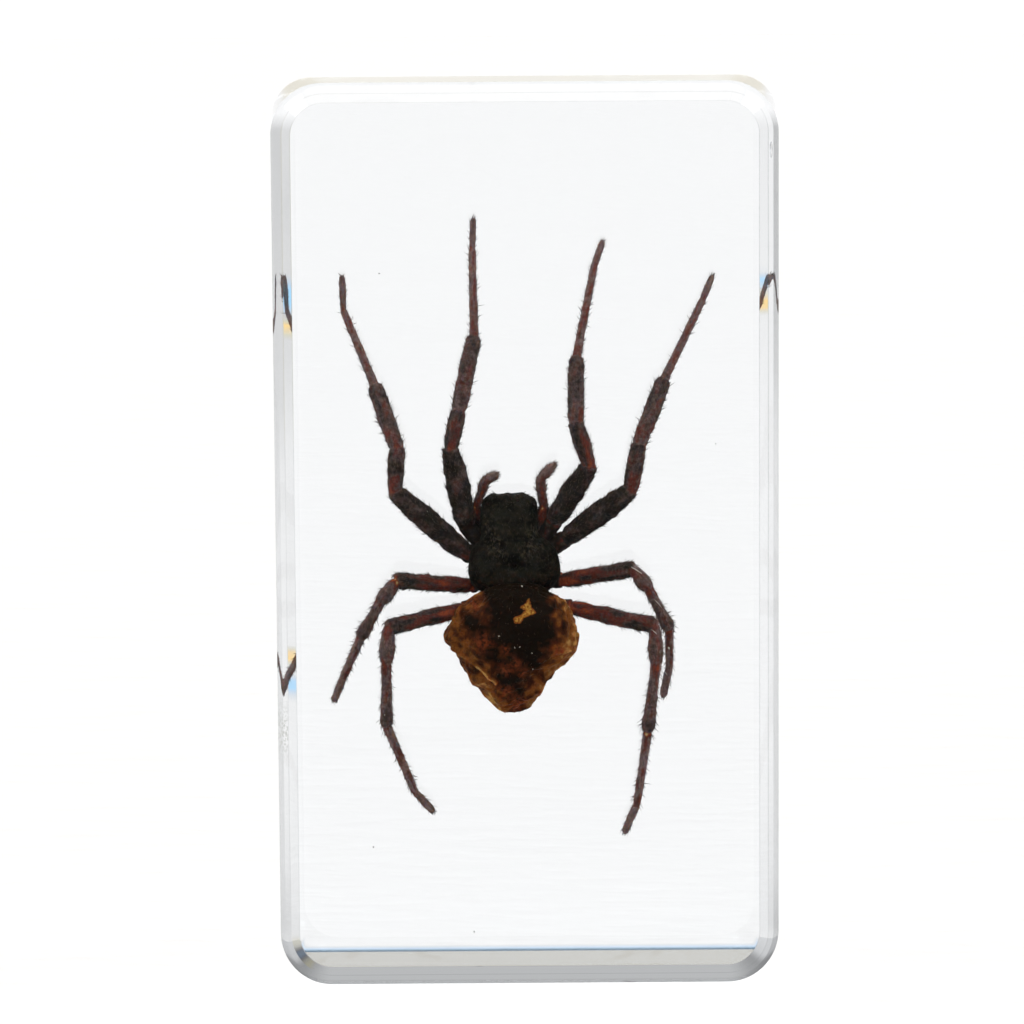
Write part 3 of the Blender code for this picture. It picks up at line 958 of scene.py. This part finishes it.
def body(sections, count, sides):
    """An oval skin through a body's cross-sections."""
    z, left, right, back, belly = along_curve(sections, count).T
    angles = turns(sides)
    x = ((left + right) / 2)[:, None] + ((right - left) / 2)[:, None] * np.cos(angles)
    y = ((back + belly) / 2)[:, None] + ((belly - back) / 2)[:, None] * np.sin(angles)
    return Skin(np.stack([x, y, np.repeat(z[:, None], sides, axis=1)], axis=2))


def ball(centre, size, sides):
    """An egg-shaped skin that stands along z."""
    rise = np.linspace(BALL_CAP, math.pi - BALL_CAP, sides)
    angles = turns(sides)
    around = np.sin(rise)[:, None]
    x = centre[0] + size[0] * around * np.cos(angles)
    y = centre[1] + size[1] * around * np.sin(angles)
    z = np.repeat((centre[2] + size[2] * np.cos(rise))[:, None], sides, axis=1)
    return Skin(np.stack([x, y, z], axis=2))


def hairs(roots, coat):
    """Tapering three-sided hairs on (points, normals, directions along the skin) as (points, faces)."""
    points, normals, along = roots
    count = len(points)
    wild = DICE.normal(0, HAIR_WILDNESS, (count, 3))
    way = unit(normals * (1 - coat.lean) + along * coat.lean + wild)
    curl = unit(along + DICE.normal(0, HAIR_CURL_WILDNESS, (count, 3))) * coat.bend
    lengths = coat.length * DICE.uniform(*HAIR_LENGTHS, (count, 1))
    side = unit(np.cross(way, HAIR_GUIDE))
    across = np.cross(way, side)
    base = points - normals * HAIR_ROOT_DEPTH
    rows = []
    for share, wide in HAIR_TAPER:
        centre = base + way * lengths * share + curl * lengths * share**2
        for k in range(3):
            spoke = side * math.cos(k * math.tau / 3) + across * math.sin(k * math.tau / 3)
            rows.append(centre + spoke * coat.thickness * wide)
    rows.append(base + way * lengths + curl * lengths)
    pattern = [(0, 2, 1), (0, 1, 4, 3), (1, 2, 5, 4), (2, 0, 3, 5), (3, 4, 6), (4, 5, 6), (5, 3, 6)]
    faces = [tuple(i + len(rows) * n for i in face) for n in range(count) for face in pattern]
    return np.stack(rows, axis=1).reshape(-1, 3), faces


def grow(skin, coat, where=None):
    """A coat of hair on a skin, thicker where the numbers of where are larger."""
    return hairs(skin.roots(coat.count, where), coat)


def hair_piece(name, coats, finish):
    """One mesh of several coats of hair."""
    points, faces, start = [], [], 0
    for more, listed in coats:
        faces += [tuple(i + start for i in face) for face in listed]
        points.append(more)
        start += len(more)
    return piece(name, np.vstack(points), faces, finish)


# ---- the block ----


def edge_depth(inset):
    """How far the ground edge lies behind the face at one inset."""
    depth = 0.0
    for (inner, slope), (outer, _) in zip(EDGE_SLOPES, (*EDGE_SLOPES[1:], (0.0, 0))):
        depth += max(inner - max(outer, inset), 0) * math.tan(math.radians(slope))
    return depth


def strip_at(inset):
    """The name of the ground edge's strip or line at one inset."""
    if inset in (EDGE_INNER, EDGE_RIDGE):
        return "line"
    return "inner" if inset > EDGE_RIDGE else "outer" if inset > EDGE_RIM else "rim"


def edge_rings(face_y, inward):
    """(inset, y, strip) across one ground edge, from the face to the side."""
    rings = [(EDGE_INNER + more, face_y, strip) for more, strip in FACE_RINGS]
    rings += [(inset, face_y + inward * edge_depth(inset), strip_at(inset)) for inset in EDGE_RINGS]
    return [*rings, (0.0, rings[-1][1] + inward * SIDE_RING, "side")]


def block_outline(inset, y):
    """The block's rounded outline at one depth, as (x, z, how far it faces sideways)."""
    share = y / BLOCK_DEPTH + 0.5
    half_width = BLOCK_WIDTH / 2 + SIDE_DRAFT * share - inset
    top, bottom = BLOCK_HEIGHT - inset, inset
    radius = FRONT_CORNER_RADIUS + (BACK_CORNER_RADIUS - FRONT_CORNER_RADIUS) * share
    radius = max(radius - inset * (1 + BACK_MITRE * share), LEAST_CORNER_RADIUS)
    side, lower, upper = half_width - radius, bottom + radius, top - radius
    centres = ((side, upper), (-side, upper), (-side, lower), (side, lower))
    points = []
    for quarter, (x, z) in enumerate(centres):
        for step in range(CORNER_STEPS + 1):
            angle = (quarter + step / CORNER_STEPS) * math.pi / 2
            across, up = math.cos(angle), math.sin(angle)
            points.append((x + radius * across, z + radius * up, abs(across)))
        start_x, start_z, sideways = points[-1]
        far_x, far_z = centres[(quarter + 1) % 4]
        upright = quarter % 2
        steps = SIDE_STEPS if upright else TOP_STEPS
        for step in range(1, steps):
            go = step / steps
            run = 0 if upright else (far_x - start_x) * go
            rise = (far_z - start_z) * go if upright else 0
            points.append((start_x + run, start_z + rise, sideways))
    narrowing = FOOT_NARROWER / BLOCK_WIDTH
    return [(x * (1 - narrowing * (1 - z / BLOCK_HEIGHT)), z, sideways) for x, z, sideways in points]


def painted_corner_patch(turned):
    """(light left by its painted shade, painted tint) of the lower left corner's painted dark patch, so many
    degrees round it from the side.
    """
    light, tint = 1.0, 0.0
    for places, painted_shade, painted_tint in (CORNER_PATCH, CORNER_PATCH_RIMS):
        share = sum(bell(turned - at, CORNER_PATCH_WIDTH) for at in places)
        light -= painted_shade * min(share, 1)
        tint += painted_tint * share
    return light, tint


def edge_shade(strip, x, z, sideways, at_back):
    """(painted shade, painted tint) of a point of the ground edge, for what it reflects and bends."""
    if strip == "side":
        return TOP_SIDE if z > BLOCK_HEIGHT - TOP_SIDE_HEIGHT else (0.0, 0.0)
    if at_back:
        return BACK_EDGE.get(strip, (0.0, 0.0)) if z < BACK_EDGE_HEIGHT else (0.0, 0.0)
    side = "left" if x < 0 else "right"
    if strip not in PAINTED_STRIP_LIGHT[side]:
        return 0.0, 0.0
    # painted shade of the strips, strongest where they face sideways
    light = 1 - (1 - float(spread(PAINTED_STRIP_LIGHT[side][strip], z))) * sideways**2
    tint = 0.0
    if z < FRONT_CORNER_RADIUS:
        turned = math.degrees(math.acos(min(sideways, 1)))
        light -= CORNER_PAINTED_SHADE * math.sin(math.radians(2 * turned)) ** 2
        if side == "left" and strip == "inner":
            patch_light, tint = painted_corner_patch(turned)
            light *= patch_light
    if strip == "line":
        light = min(light, MOST_LINE_LIGHT)
        tint = WARM_LINE_TINT if side == "left" and z > WARM_LINE_FROM else 0.0
    # Glass takes the root of its colour at each surface that light goes through
    painted_shade = 1 - light**2
    # painted reflections of the legs with painted rainbow fringes
    if strip == "inner":
        for at, reach, hue, depth in PAINTED_FRINGES[side]:
            share = math.exp(-(((z - at) / reach) ** 4))
            tint += hue * share
            painted_shade += (depth - painted_shade) * share
    return painted_shade, tint


def resin_block(finish):
    """The whole clear block, with the long bubble in it."""
    front = edge_rings(-BLOCK_DEPTH / 2, 1)
    back = edge_rings(BLOCK_DEPTH / 2, -1)
    rings = [*front, *reversed(back)]
    points, ground, scuff, shades = [], [], [], []
    for inset, y, strip in rings:
        at_back = y > 0
        near_ridge = max(0.0, 1 - abs(inset - EDGE_RIDGE) / SWAY_BAND)
        for x, z, sideways in block_outline(inset, y):
            place = Vector([part / length for part, length in zip((x, y, z), SWAY_LENGTHS)])
            sway = (BACK_SWAY if at_back else FRONT_SWAY) * near_ridge * noise.noise(place)
            points.append((x * (1 - sway / SWAY_LEVER), y, z + sway * (0.5 - z / BLOCK_HEIGHT)))
            ground.append(float(strip in GROUND_STRIPS))
            scuffed = x < 0 and not at_back and strip in ("outer", "rim")
            scuff.append(bell(z - SCUFF_HEIGHT, SCUFF_REACH) * scuffed)
            shades.append(edge_shade(strip, x, z, sideways, at_back))
    count = len(points) // len(rings)
    faces = [tuple(range(count)), tuple(reversed(range(len(points) - count, len(points))))]
    faces += wall(0, len(rings), count, turned=True)
    hollow, inside, _ = ball(BUBBLE_AT, BUBBLE_SIZE, SIDES["bubble"]).mesh(len(points))
    clean = np.zeros(len(hollow))
    # painted shade and painted tint of each point of the edge
    painted_shade, painted_tint = np.array(shades).T
    drawn = {"ground": ground, "scuff": scuff, "painted_shade": painted_shade, "painted_tint": painted_tint}
    drawn = {name: np.append(numbers, clean) for name, numbers in drawn.items()}
    points, faces = np.vstack([points, hollow]), faces + [face[::-1] for face in inside]
    made = piece("resin_block", points, faces, finish, drawn, BLOCK_CREASE)
    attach(made, "root")
    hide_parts("resin_front", "resin_back")
    made.visible_shadow = False
    return made


def specks():
    """The few specks of dust that were cast in."""
    finish = plain_finish("dust", (0.16, 0.15, 0.14), (0.30, 0.28, 0.26), 0.1, 0.8)
    made = skin_piece("specks", [ball(place, size, SIDES["speck"]) for place, size in SPECKS], finish)
    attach(made, "root")
    return made


# ---- the spider ----


def on_the_spider(obj):
    """Makes a piece part of the animal, which the solids have as one node."""
    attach(obj, "root")
    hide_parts("spider")
    return obj


def near_line(x, z, start, end):
    """Distance from a line on the back or the belly, from one (x, z) to another."""
    start, end = np.array(start, float), np.array(end, float)
    reach = end - start
    share = ((x - start[0]) * reach[0] + (z - start[1]) * reach[1]) / (reach @ reach)
    share = np.clip(share, 0, 1)
    return np.hypot(x - start[0] - share * reach[0], z - start[1] - share * reach[1])


def near_lines(x, z, *lines):
    """Distance from the nearest of several bent lines, each a row of (x, z)."""
    return np.min([near_line(x, z, *ends) for line in lines for ends in zip(line, line[1:])], axis=0)


def near_spots(x, z, spots, shift):
    """How near a point is to the nearest of some spots, each (x, z, radius), as 0 to 1."""
    away = [np.hypot(x - at_x, z - at_z) / size for at_x, at_z, size in spots]
    return np.max([bell(share + shift, 1) for share in away], axis=0)


def depth_inside(outline, x, z):
    """How far a point lies inside a closed outline on the back, and less than 0 outside it."""
    closed = (*outline, outline[0])
    inside = np.zeros(x.shape, bool)
    for (start_x, start_z), (end_x, end_z) in zip(closed, closed[1:]):
        across = (start_z > z) != (end_z > z)
        inside ^= across & (x < (end_x - start_x) * (z - start_z) / (end_z - start_z) + start_x)
    away = near_lines(x, z, closed)
    return np.where(inside, away, -away)


def head_and_chest():
    """The front of the body, with the groove behind the head, the pit and the furrows of the chest."""
    made = body(HEAD_AND_CHEST, *CHEST_MESH)
    x, z = made.rings[..., 0] - BODY_AXIS_X, made.rings[..., 2]
    up = smooth_step(-made.normals()[..., 1] * 1.6)
    relief = CHEST_PIT.height * bell(np.hypot(x, z - CHEST_PIT.z), CHEST_PIT.width)
    for way in (-1, 1):
        for height, width, (far_x, far_z) in CHEST_FURROWS:
            relief += height * bell(near_line(x, z, (0.0, CHEST_PIT.z), (way * far_x, far_z)), width)
    relief += HEAD_CROWN.height * bell(np.hypot(x, z - HEAD_CROWN.z), HEAD_CROWN.width)
    made.swell(relief * up + lumps(made.rings, CHEST_LUMPS, seed=3))
    bumps = sum(bell(made.rings[..., 0] - bump, HEAD_BUMP_WIDTH) for bump in HEAD_BUMPS)
    made.swell(HEAD_BUMP_HEIGHT * bumps * smooth_step((z - HEAD_BUMPS_FROM) / HEAD_BUMPS_OVER))
    grooves = [[(way * x_from, z_from) for x_from, z_from in DUSTY_GROOVE] for way in (-1, 1)]
    made.drawn["dust"] = bell(near_lines(x, z, *grooves), DUST_WIDTH) * up
    made.drawn["rust"] = smooth_step((RUSTY_BELOW - z) / RUSTY_OVER) * up
    return made


def abdomen():
    """The rear of the body, sunken and folded by drying."""
    made = body(ABDOMEN, *ABDOMEN_MESH)
    count, sides = made.rings.shape[:2]
    x, z = made.rings[..., 0], made.rings[..., 2]
    up = smooth_step(0.5 - 1.2 * made.normals()[..., 1])
    wrinkles = rough(made.rings * [1.25, 1, 0.8], WRINKLE_SIZE, seed=5)
    fine_wrinkles = rough(made.rings * [1.2, 1, 0.9], FINE_WRINKLE_SIZE, seed=8)
    away = near_lines(x, z, *ABDOMEN_FOLDS)
    seams, hollows = bell(away, SEAM_WIDTH), bell(away, HOLLOW_WIDTH)
    bulges = sum(height * np.sin(times * turns(sides) + twist * z) for times, twist, height in BULGES)
    relief = BULGE_HEIGHT * bulges + WRINKLE_HEIGHT * (0.5 - np.abs(wrinkles)) - ABDOMEN_SHRINKAGE
    relief += FINE_WRINKLE_HEIGHT * (0.35 - np.abs(fine_wrinkles))
    relief += lumps(made.rings, ABDOMEN_LUMPS, seed=6)
    relief += up * (SEAM_HEIGHT * seams - HOLLOW_DEPTH * hollows)
    along = np.linspace(0, 1, count)[:, None]
    from_ends = smooth_step(along / CALM_END) * smooth_step((1 - along) / CALM_END)
    made.swell(relief * (CALM_LEFT + (1 - CALM_LEFT) * from_ends))
    veins = bell(wrinkles, VEIN_WIDTH) + 0.6 * bell(fine_wrinkles, FINE_VEIN_WIDTH)
    draw_abdomen(made, x, z, up, THINNER["veins"] * veins + THINNER["seams"] * seams * up)
    return made


def draw_abdomen(skin, x, z, up, pale_lines):
    """Draws on the abdomen where its skin is thin, painted as glow, where it is red, and its gold star, with
    painted shade under the chest.
    """
    blotches = rough(skin.rings * [1, 0.6, 1], 1.6, seed=9) * 0.22 + rough(skin.rings, 0.55, seed=11) * 0.32
    shift = 0.5 * rough(skin.rings, 0.6, seed=13)
    from_axis = np.abs(x - BODY_AXIS_X) / spread(ABDOMEN_HALF_WIDTHS, z)
    thin = THINNER["all"] + THINNER["flanks"] * smooth_step((from_axis - FLANKS_FROM) / FLANKS_OVER)
    thin += THINNER["tip"] * smooth_step((TIP_BELOW - z) / TIP_OVER)
    thin += THINNER["right"] * smooth_step(x - RIGHT_FROM) + THINNER["left"] * smooth_step(LEFT_FROM - x)
    thin += THINNER["blotches"] * near_spots(x, z, DARK_BLOTCHES, shift) * up + blotches + pale_lines
    thin += THINNER["pale edge"] * bell(near_lines(x, z, PALE_EDGE), PALE_EDGE_WIDTH) * up
    # painted shade where the chest lies over the abdomen's front
    rise = CHEST_OVER_SLOPE * (np.abs(x - CHEST_OVER_X) - CHEST_OVER_HALF_WIDTH).clip(0)
    shade_under_chest = smooth_step((z - CHEST_OVER_FROM - rise) / CHEST_OVER_FADE + 0.4 * shift)
    star = depth_inside(GOLD_STAR, x, z) + 0.09 * rough(skin.rings, 0.16, seed=12)
    skin.drawn["thin"] = np.clip(thin, 0, MOST_THIN) * (1 - shade_under_chest)
    skin.drawn["red"] = near_spots(x, z, RED_PATCHES, shift) * up
    skin.drawn["gold"] = np.clip(0.55 + star / 0.2, 0, 1) * up


def spinnerets():
    """The three spinnerets as skins that taper to their tips."""
    made = []
    share = np.linspace(0, 1, 10)
    for tip in SPINNERET_TIPS:
        path = np.array(SPINNERET_ROOT) + np.subtract(tip, SPINNERET_ROOT) * share[:, None]
        skin = tube(path, spread(SPINNERET_RADII, share), SIDES["spinneret"])
        skin.drawn["thin"] = np.full(skin.rings.shape[:2], SPINNERET_THIN)
        made.append(skin)
    return made


def on_the_back(skin, x, z):
    """The point of a skin that shows at x and z from the back."""
    points = skin.rings.reshape(-1, 3)
    miss = np.hypot(points[:, 0] - x, points[:, 2] - z) + 0.5 * (skin.normals().reshape(-1, 3)[:, 1] > 0)
    return points[np.argmin(miss)]


def flecks(skins):
    """Short pale rods on the skins, painted glints."""
    made = []
    share = np.linspace(0, 1, 7)[:, None]
    bow = np.sin(share * math.pi) * [[0.02, -0.03, 0.02]]
    for name, start, end, thickness in FLECKS:
        lift = [0, FLECK_LIFT + thickness, 0]
        first, last = (on_the_back(skins[name], *place) - lift for place in (start, end))
        path = first + (last - first + 1e-6) * share + bow * np.linalg.norm(last - first)
        made.append(tube(path, thickness * np.sin(0.35 + share[:, 0] * 2.4), SIDES["fleck"]))
    return made


def claws(joints):
    """Roots of the claws at a leg's tip, as for hairs: a pair and a middle one."""
    tip, along = np.array(joints[-1], float), unit(np.subtract(joints[-1], joints[-2]))
    side = unit(np.cross(along, [0, 1, 0]))
    points = tip + np.array([side, -side, side * 0]) * CLAW_APART + along * CLAW_AHEAD
    normals = unit(along + np.array([side, -side, [0, CLAW_DOWN, 0]]) * CLAW_SPREAD)
    return points, normals, np.repeat([[0.0, 1.0, 0.0]], 3, axis=0) + along * CLAW_LEAN


def is_front(leg):
    """Whether a leg is of the two front pairs."""
    return leg[-1] in "12"


def leg_hairs(legs, front, hair_finish, down_finish):
    """The hairs, bristles, claws and down of the front or the rear legs."""
    coats, down = [], []
    for name, skin in legs.items():
        if is_front(name) != front:
            continue
        section = np.repeat(skin.section[:, None], LIMB_SIDES, axis=1)
        outer, shins = (np.isin(section, numbers).astype(float) for numbers in (HAIRY_SECTIONS, SHINS))
        coats += [grow(skin, LEG_HAIRS, outer), grow(skin, BRISTLES, shins), hairs(claws(LEGS[name]), CLAWS)]
        down.append(grow(skin, LEG_DOWN, outer))
    pair = "front" if front else "rear"
    on_the_spider(hair_piece(pair + "_leg_hairs", coats, hair_finish))
    on_the_spider(hair_piece(pair + "_leg_down", down, down_finish))


def spider_hairs(legs, palps, chest, rear):
    """All the hair on the animal."""
    dark = plain_finish("dark_hair", (0.010, 0.007, 0.005), (0.085, 0.038, 0.020), 0.9, 0.6)
    # pale down: partly the hairs' own colour, partly a painted sheen on the legs' hairs
    pale = plain_finish("pale_down_and_sheen", (0.012, 0.009, 0.008), (0.085, 0.070, 0.060), 0.5, 0.7)
    black = plain_finish("chest_hair", (0.004, 0.0035, 0.0025), (0.022, 0.017, 0.011), 0.6, 0.7)
    for front in (True, False):
        leg_hairs(legs, front, dark, pale)
    coats = [grow(skin, PALP_HAIRS) for skin in palps]
    coats.append(grow(rear, ABDOMEN_HAIRS))
    on_the_spider(hair_piece("body_hairs", coats, dark))
    on_the_spider(hair_piece("chest_hairs", [grow(chest, CHEST_HAIRS)], black))
    down = [grow(skin, PALP_DOWN) for skin in palps]
    down.append(grow(chest, CHEST_DOWN, chest.drawn["dust"] ** 2 + 0.003))
    on_the_spider(hair_piece("body_down", down, pale))


def spider():
    """Every piece of the animal, on the joints that its solid has."""
    legs = {}
    for number, (name, joints) in enumerate(LEGS.items()):
        sections = FRONT_LEG if is_front(name) else REAR_LEG
        legs[name] = limb(joints, sections, LEG_SEED + SEEDS_PER_LEG * number, PALE_JOINTS.get(name))
    palps = [limb(joints, PALP, PALP_SEED) for joints in PALPS.values()]
    chest, rear = head_and_chest(), abdomen()
    jaws = [ball(centre, JAW_SIZE, SIDES["jaw"]) for centre in JAWS]
    eyes = [ball(place, (EYE_RADIUS,) * 3, SIDES["eye"]) for place in EYES]
    leg_finish, chest_finish, rear_finish = leg_skin(), chest_skin(), abdomen_skin()
    eye_finish = plain_finish("eyes", (0.004, 0.003, 0.003), (0.020, 0.010, 0.006), 0.3, 0.2)
    # pale flecks that are painted glints
    glint_finish = plain_finish("flecks", (0.60, 0.52, 0.40), (0.85, 0.82, 0.74), 0.1, 0.4)
    parts = [("leg_" + name, [skin], leg_finish) for name, skin in legs.items()]
    parts += [
        ("palps", palps, leg_finish),
        ("head_and_chest", [chest], chest_finish),
        ("abdomen", [rear], rear_finish),
        ("jaws", jaws, chest_finish),
        ("eyes", eyes, eye_finish),
        ("spinnerets", spinnerets(), rear_finish),
        ("flecks", flecks({**legs, "abdomen": rear}), glint_finish),
    ]
    for name, skins, finish in parts:
        on_the_spider(skin_piece(name, skins, finish))
    spider_hairs(legs, palps, chest, rear)


# ---- the studio ----


def camera():
    """The camera, off the block's front, looking a little down."""
    data = bpy.data.cameras.new("camera")
    data.lens, data.sensor_width = CAMERA_LENS, SENSOR_WIDTH
    data.clip_start, data.clip_end = CAMERA_CLIPS
    made = bpy.data.objects.new("camera", data)
    place = Vector((CAMERA_X, -BLOCK_DEPTH / 2 - CAMERA_DISTANCE, CAMERA_HEIGHT)) * MM
    down = math.atan2(CAMERA_HEIGHT - LOOKS_AT_HEIGHT, CAMERA_DISTANCE)
    turn = Matrix.Rotation(math.pi / 2 - down, 4, "X") @ Matrix.Rotation(-CAMERA_ROLL, 4, "Z")
    made.matrix_world = Matrix.Translation(place) @ turn
    bpy.context.scene.collection.objects.link(made)
    bpy.context.scene.camera = made
    bpy.context.scene.view_settings.view_transform = "Standard"


def white_studio():
    """Soft white light from all round, by the direction (x, y, up) that it comes from."""
    world = bpy.data.worlds.new("white_studio")
    world.use_nodes = True
    bpy.context.scene.world = world
    w = Tree(world.node_tree)
    way = w.node("ShaderNodeTexCoord", out="Generated")
    x, y, up = (w.node("ShaderNodeSeparateXYZ", {}, way, out=axis) for axis in "XYZ")
    # ahead is 1 towards the wall behind the block and -1 towards the camera
    flat = (x * x + y * y + 0.0001) ** 0.5
    ahead = y / flat

    light = SIDE_LIGHT + WALL_LIGHT * ahead.step(0.84, 0.95)
    towards_camera, low = (-ahead).step(0.980, 0.992), 1 - up.step(0.01, 0.04)
    light = light - (light - DARK_BY_CAMERA) * towards_camera * low
    back = BACK_LIGHT - 0.12 * up.step(0.46, 0.60)
    light = light + (back - light) * up.step(0.17, 0.30)
    lamps = up.step(0.52, 0.60) * (1 - up.step(0.86, 0.90)) * (1 - ahead.step(0.10, 0.35))
    light = light + (LAMP_LIGHT - light) * lamps
    straight_up = up.step(0.88, 0.93)
    light = light + (ZENITH_LIGHT + 0.6 * y - light) * straight_up
    light = DARK_BY_CAMERA + (light - DARK_BY_CAMERA) * up.step(-0.12, -0.05)

    white, cream, warm = (1.0, 1.0, 1.0), (0.92, 0.89, 0.80), (1.0, 0.925, 0.84)
    wall_ahead = ahead.step(0.90, 0.97) * up.step(0.01, 0.04) * (1 - up.step(0.10, 0.16))
    background = w.tree.nodes["Background"]
    w.feed(background.inputs["Color"], w.blend(straight_up, w.blend(wall_ahead, white, cream), warm))
    w.feed(background.inputs["Strength"], light)


def pale_floor():
    """The floor that the block stands on."""
    finish = plain_finish("pale_floor", (0.84, 0.84, 0.84), (0.86, 0.86, 0.86), 30.0, 0.7)
    ways = ((-1, -1), (1, -1), (1, 1), (-1, 1))
    corners = [(x * FLOOR_REACH, y * FLOOR_REACH, -FLOOR_DROP) for x, y in ways]
    floor = piece("floor", corners, [(0, 1, 2, 3)], finish)
    floor.visible_glossy = False


camera()
white_studio()
pale_floor()
resin_block(clear_resin())
specks()
spider()
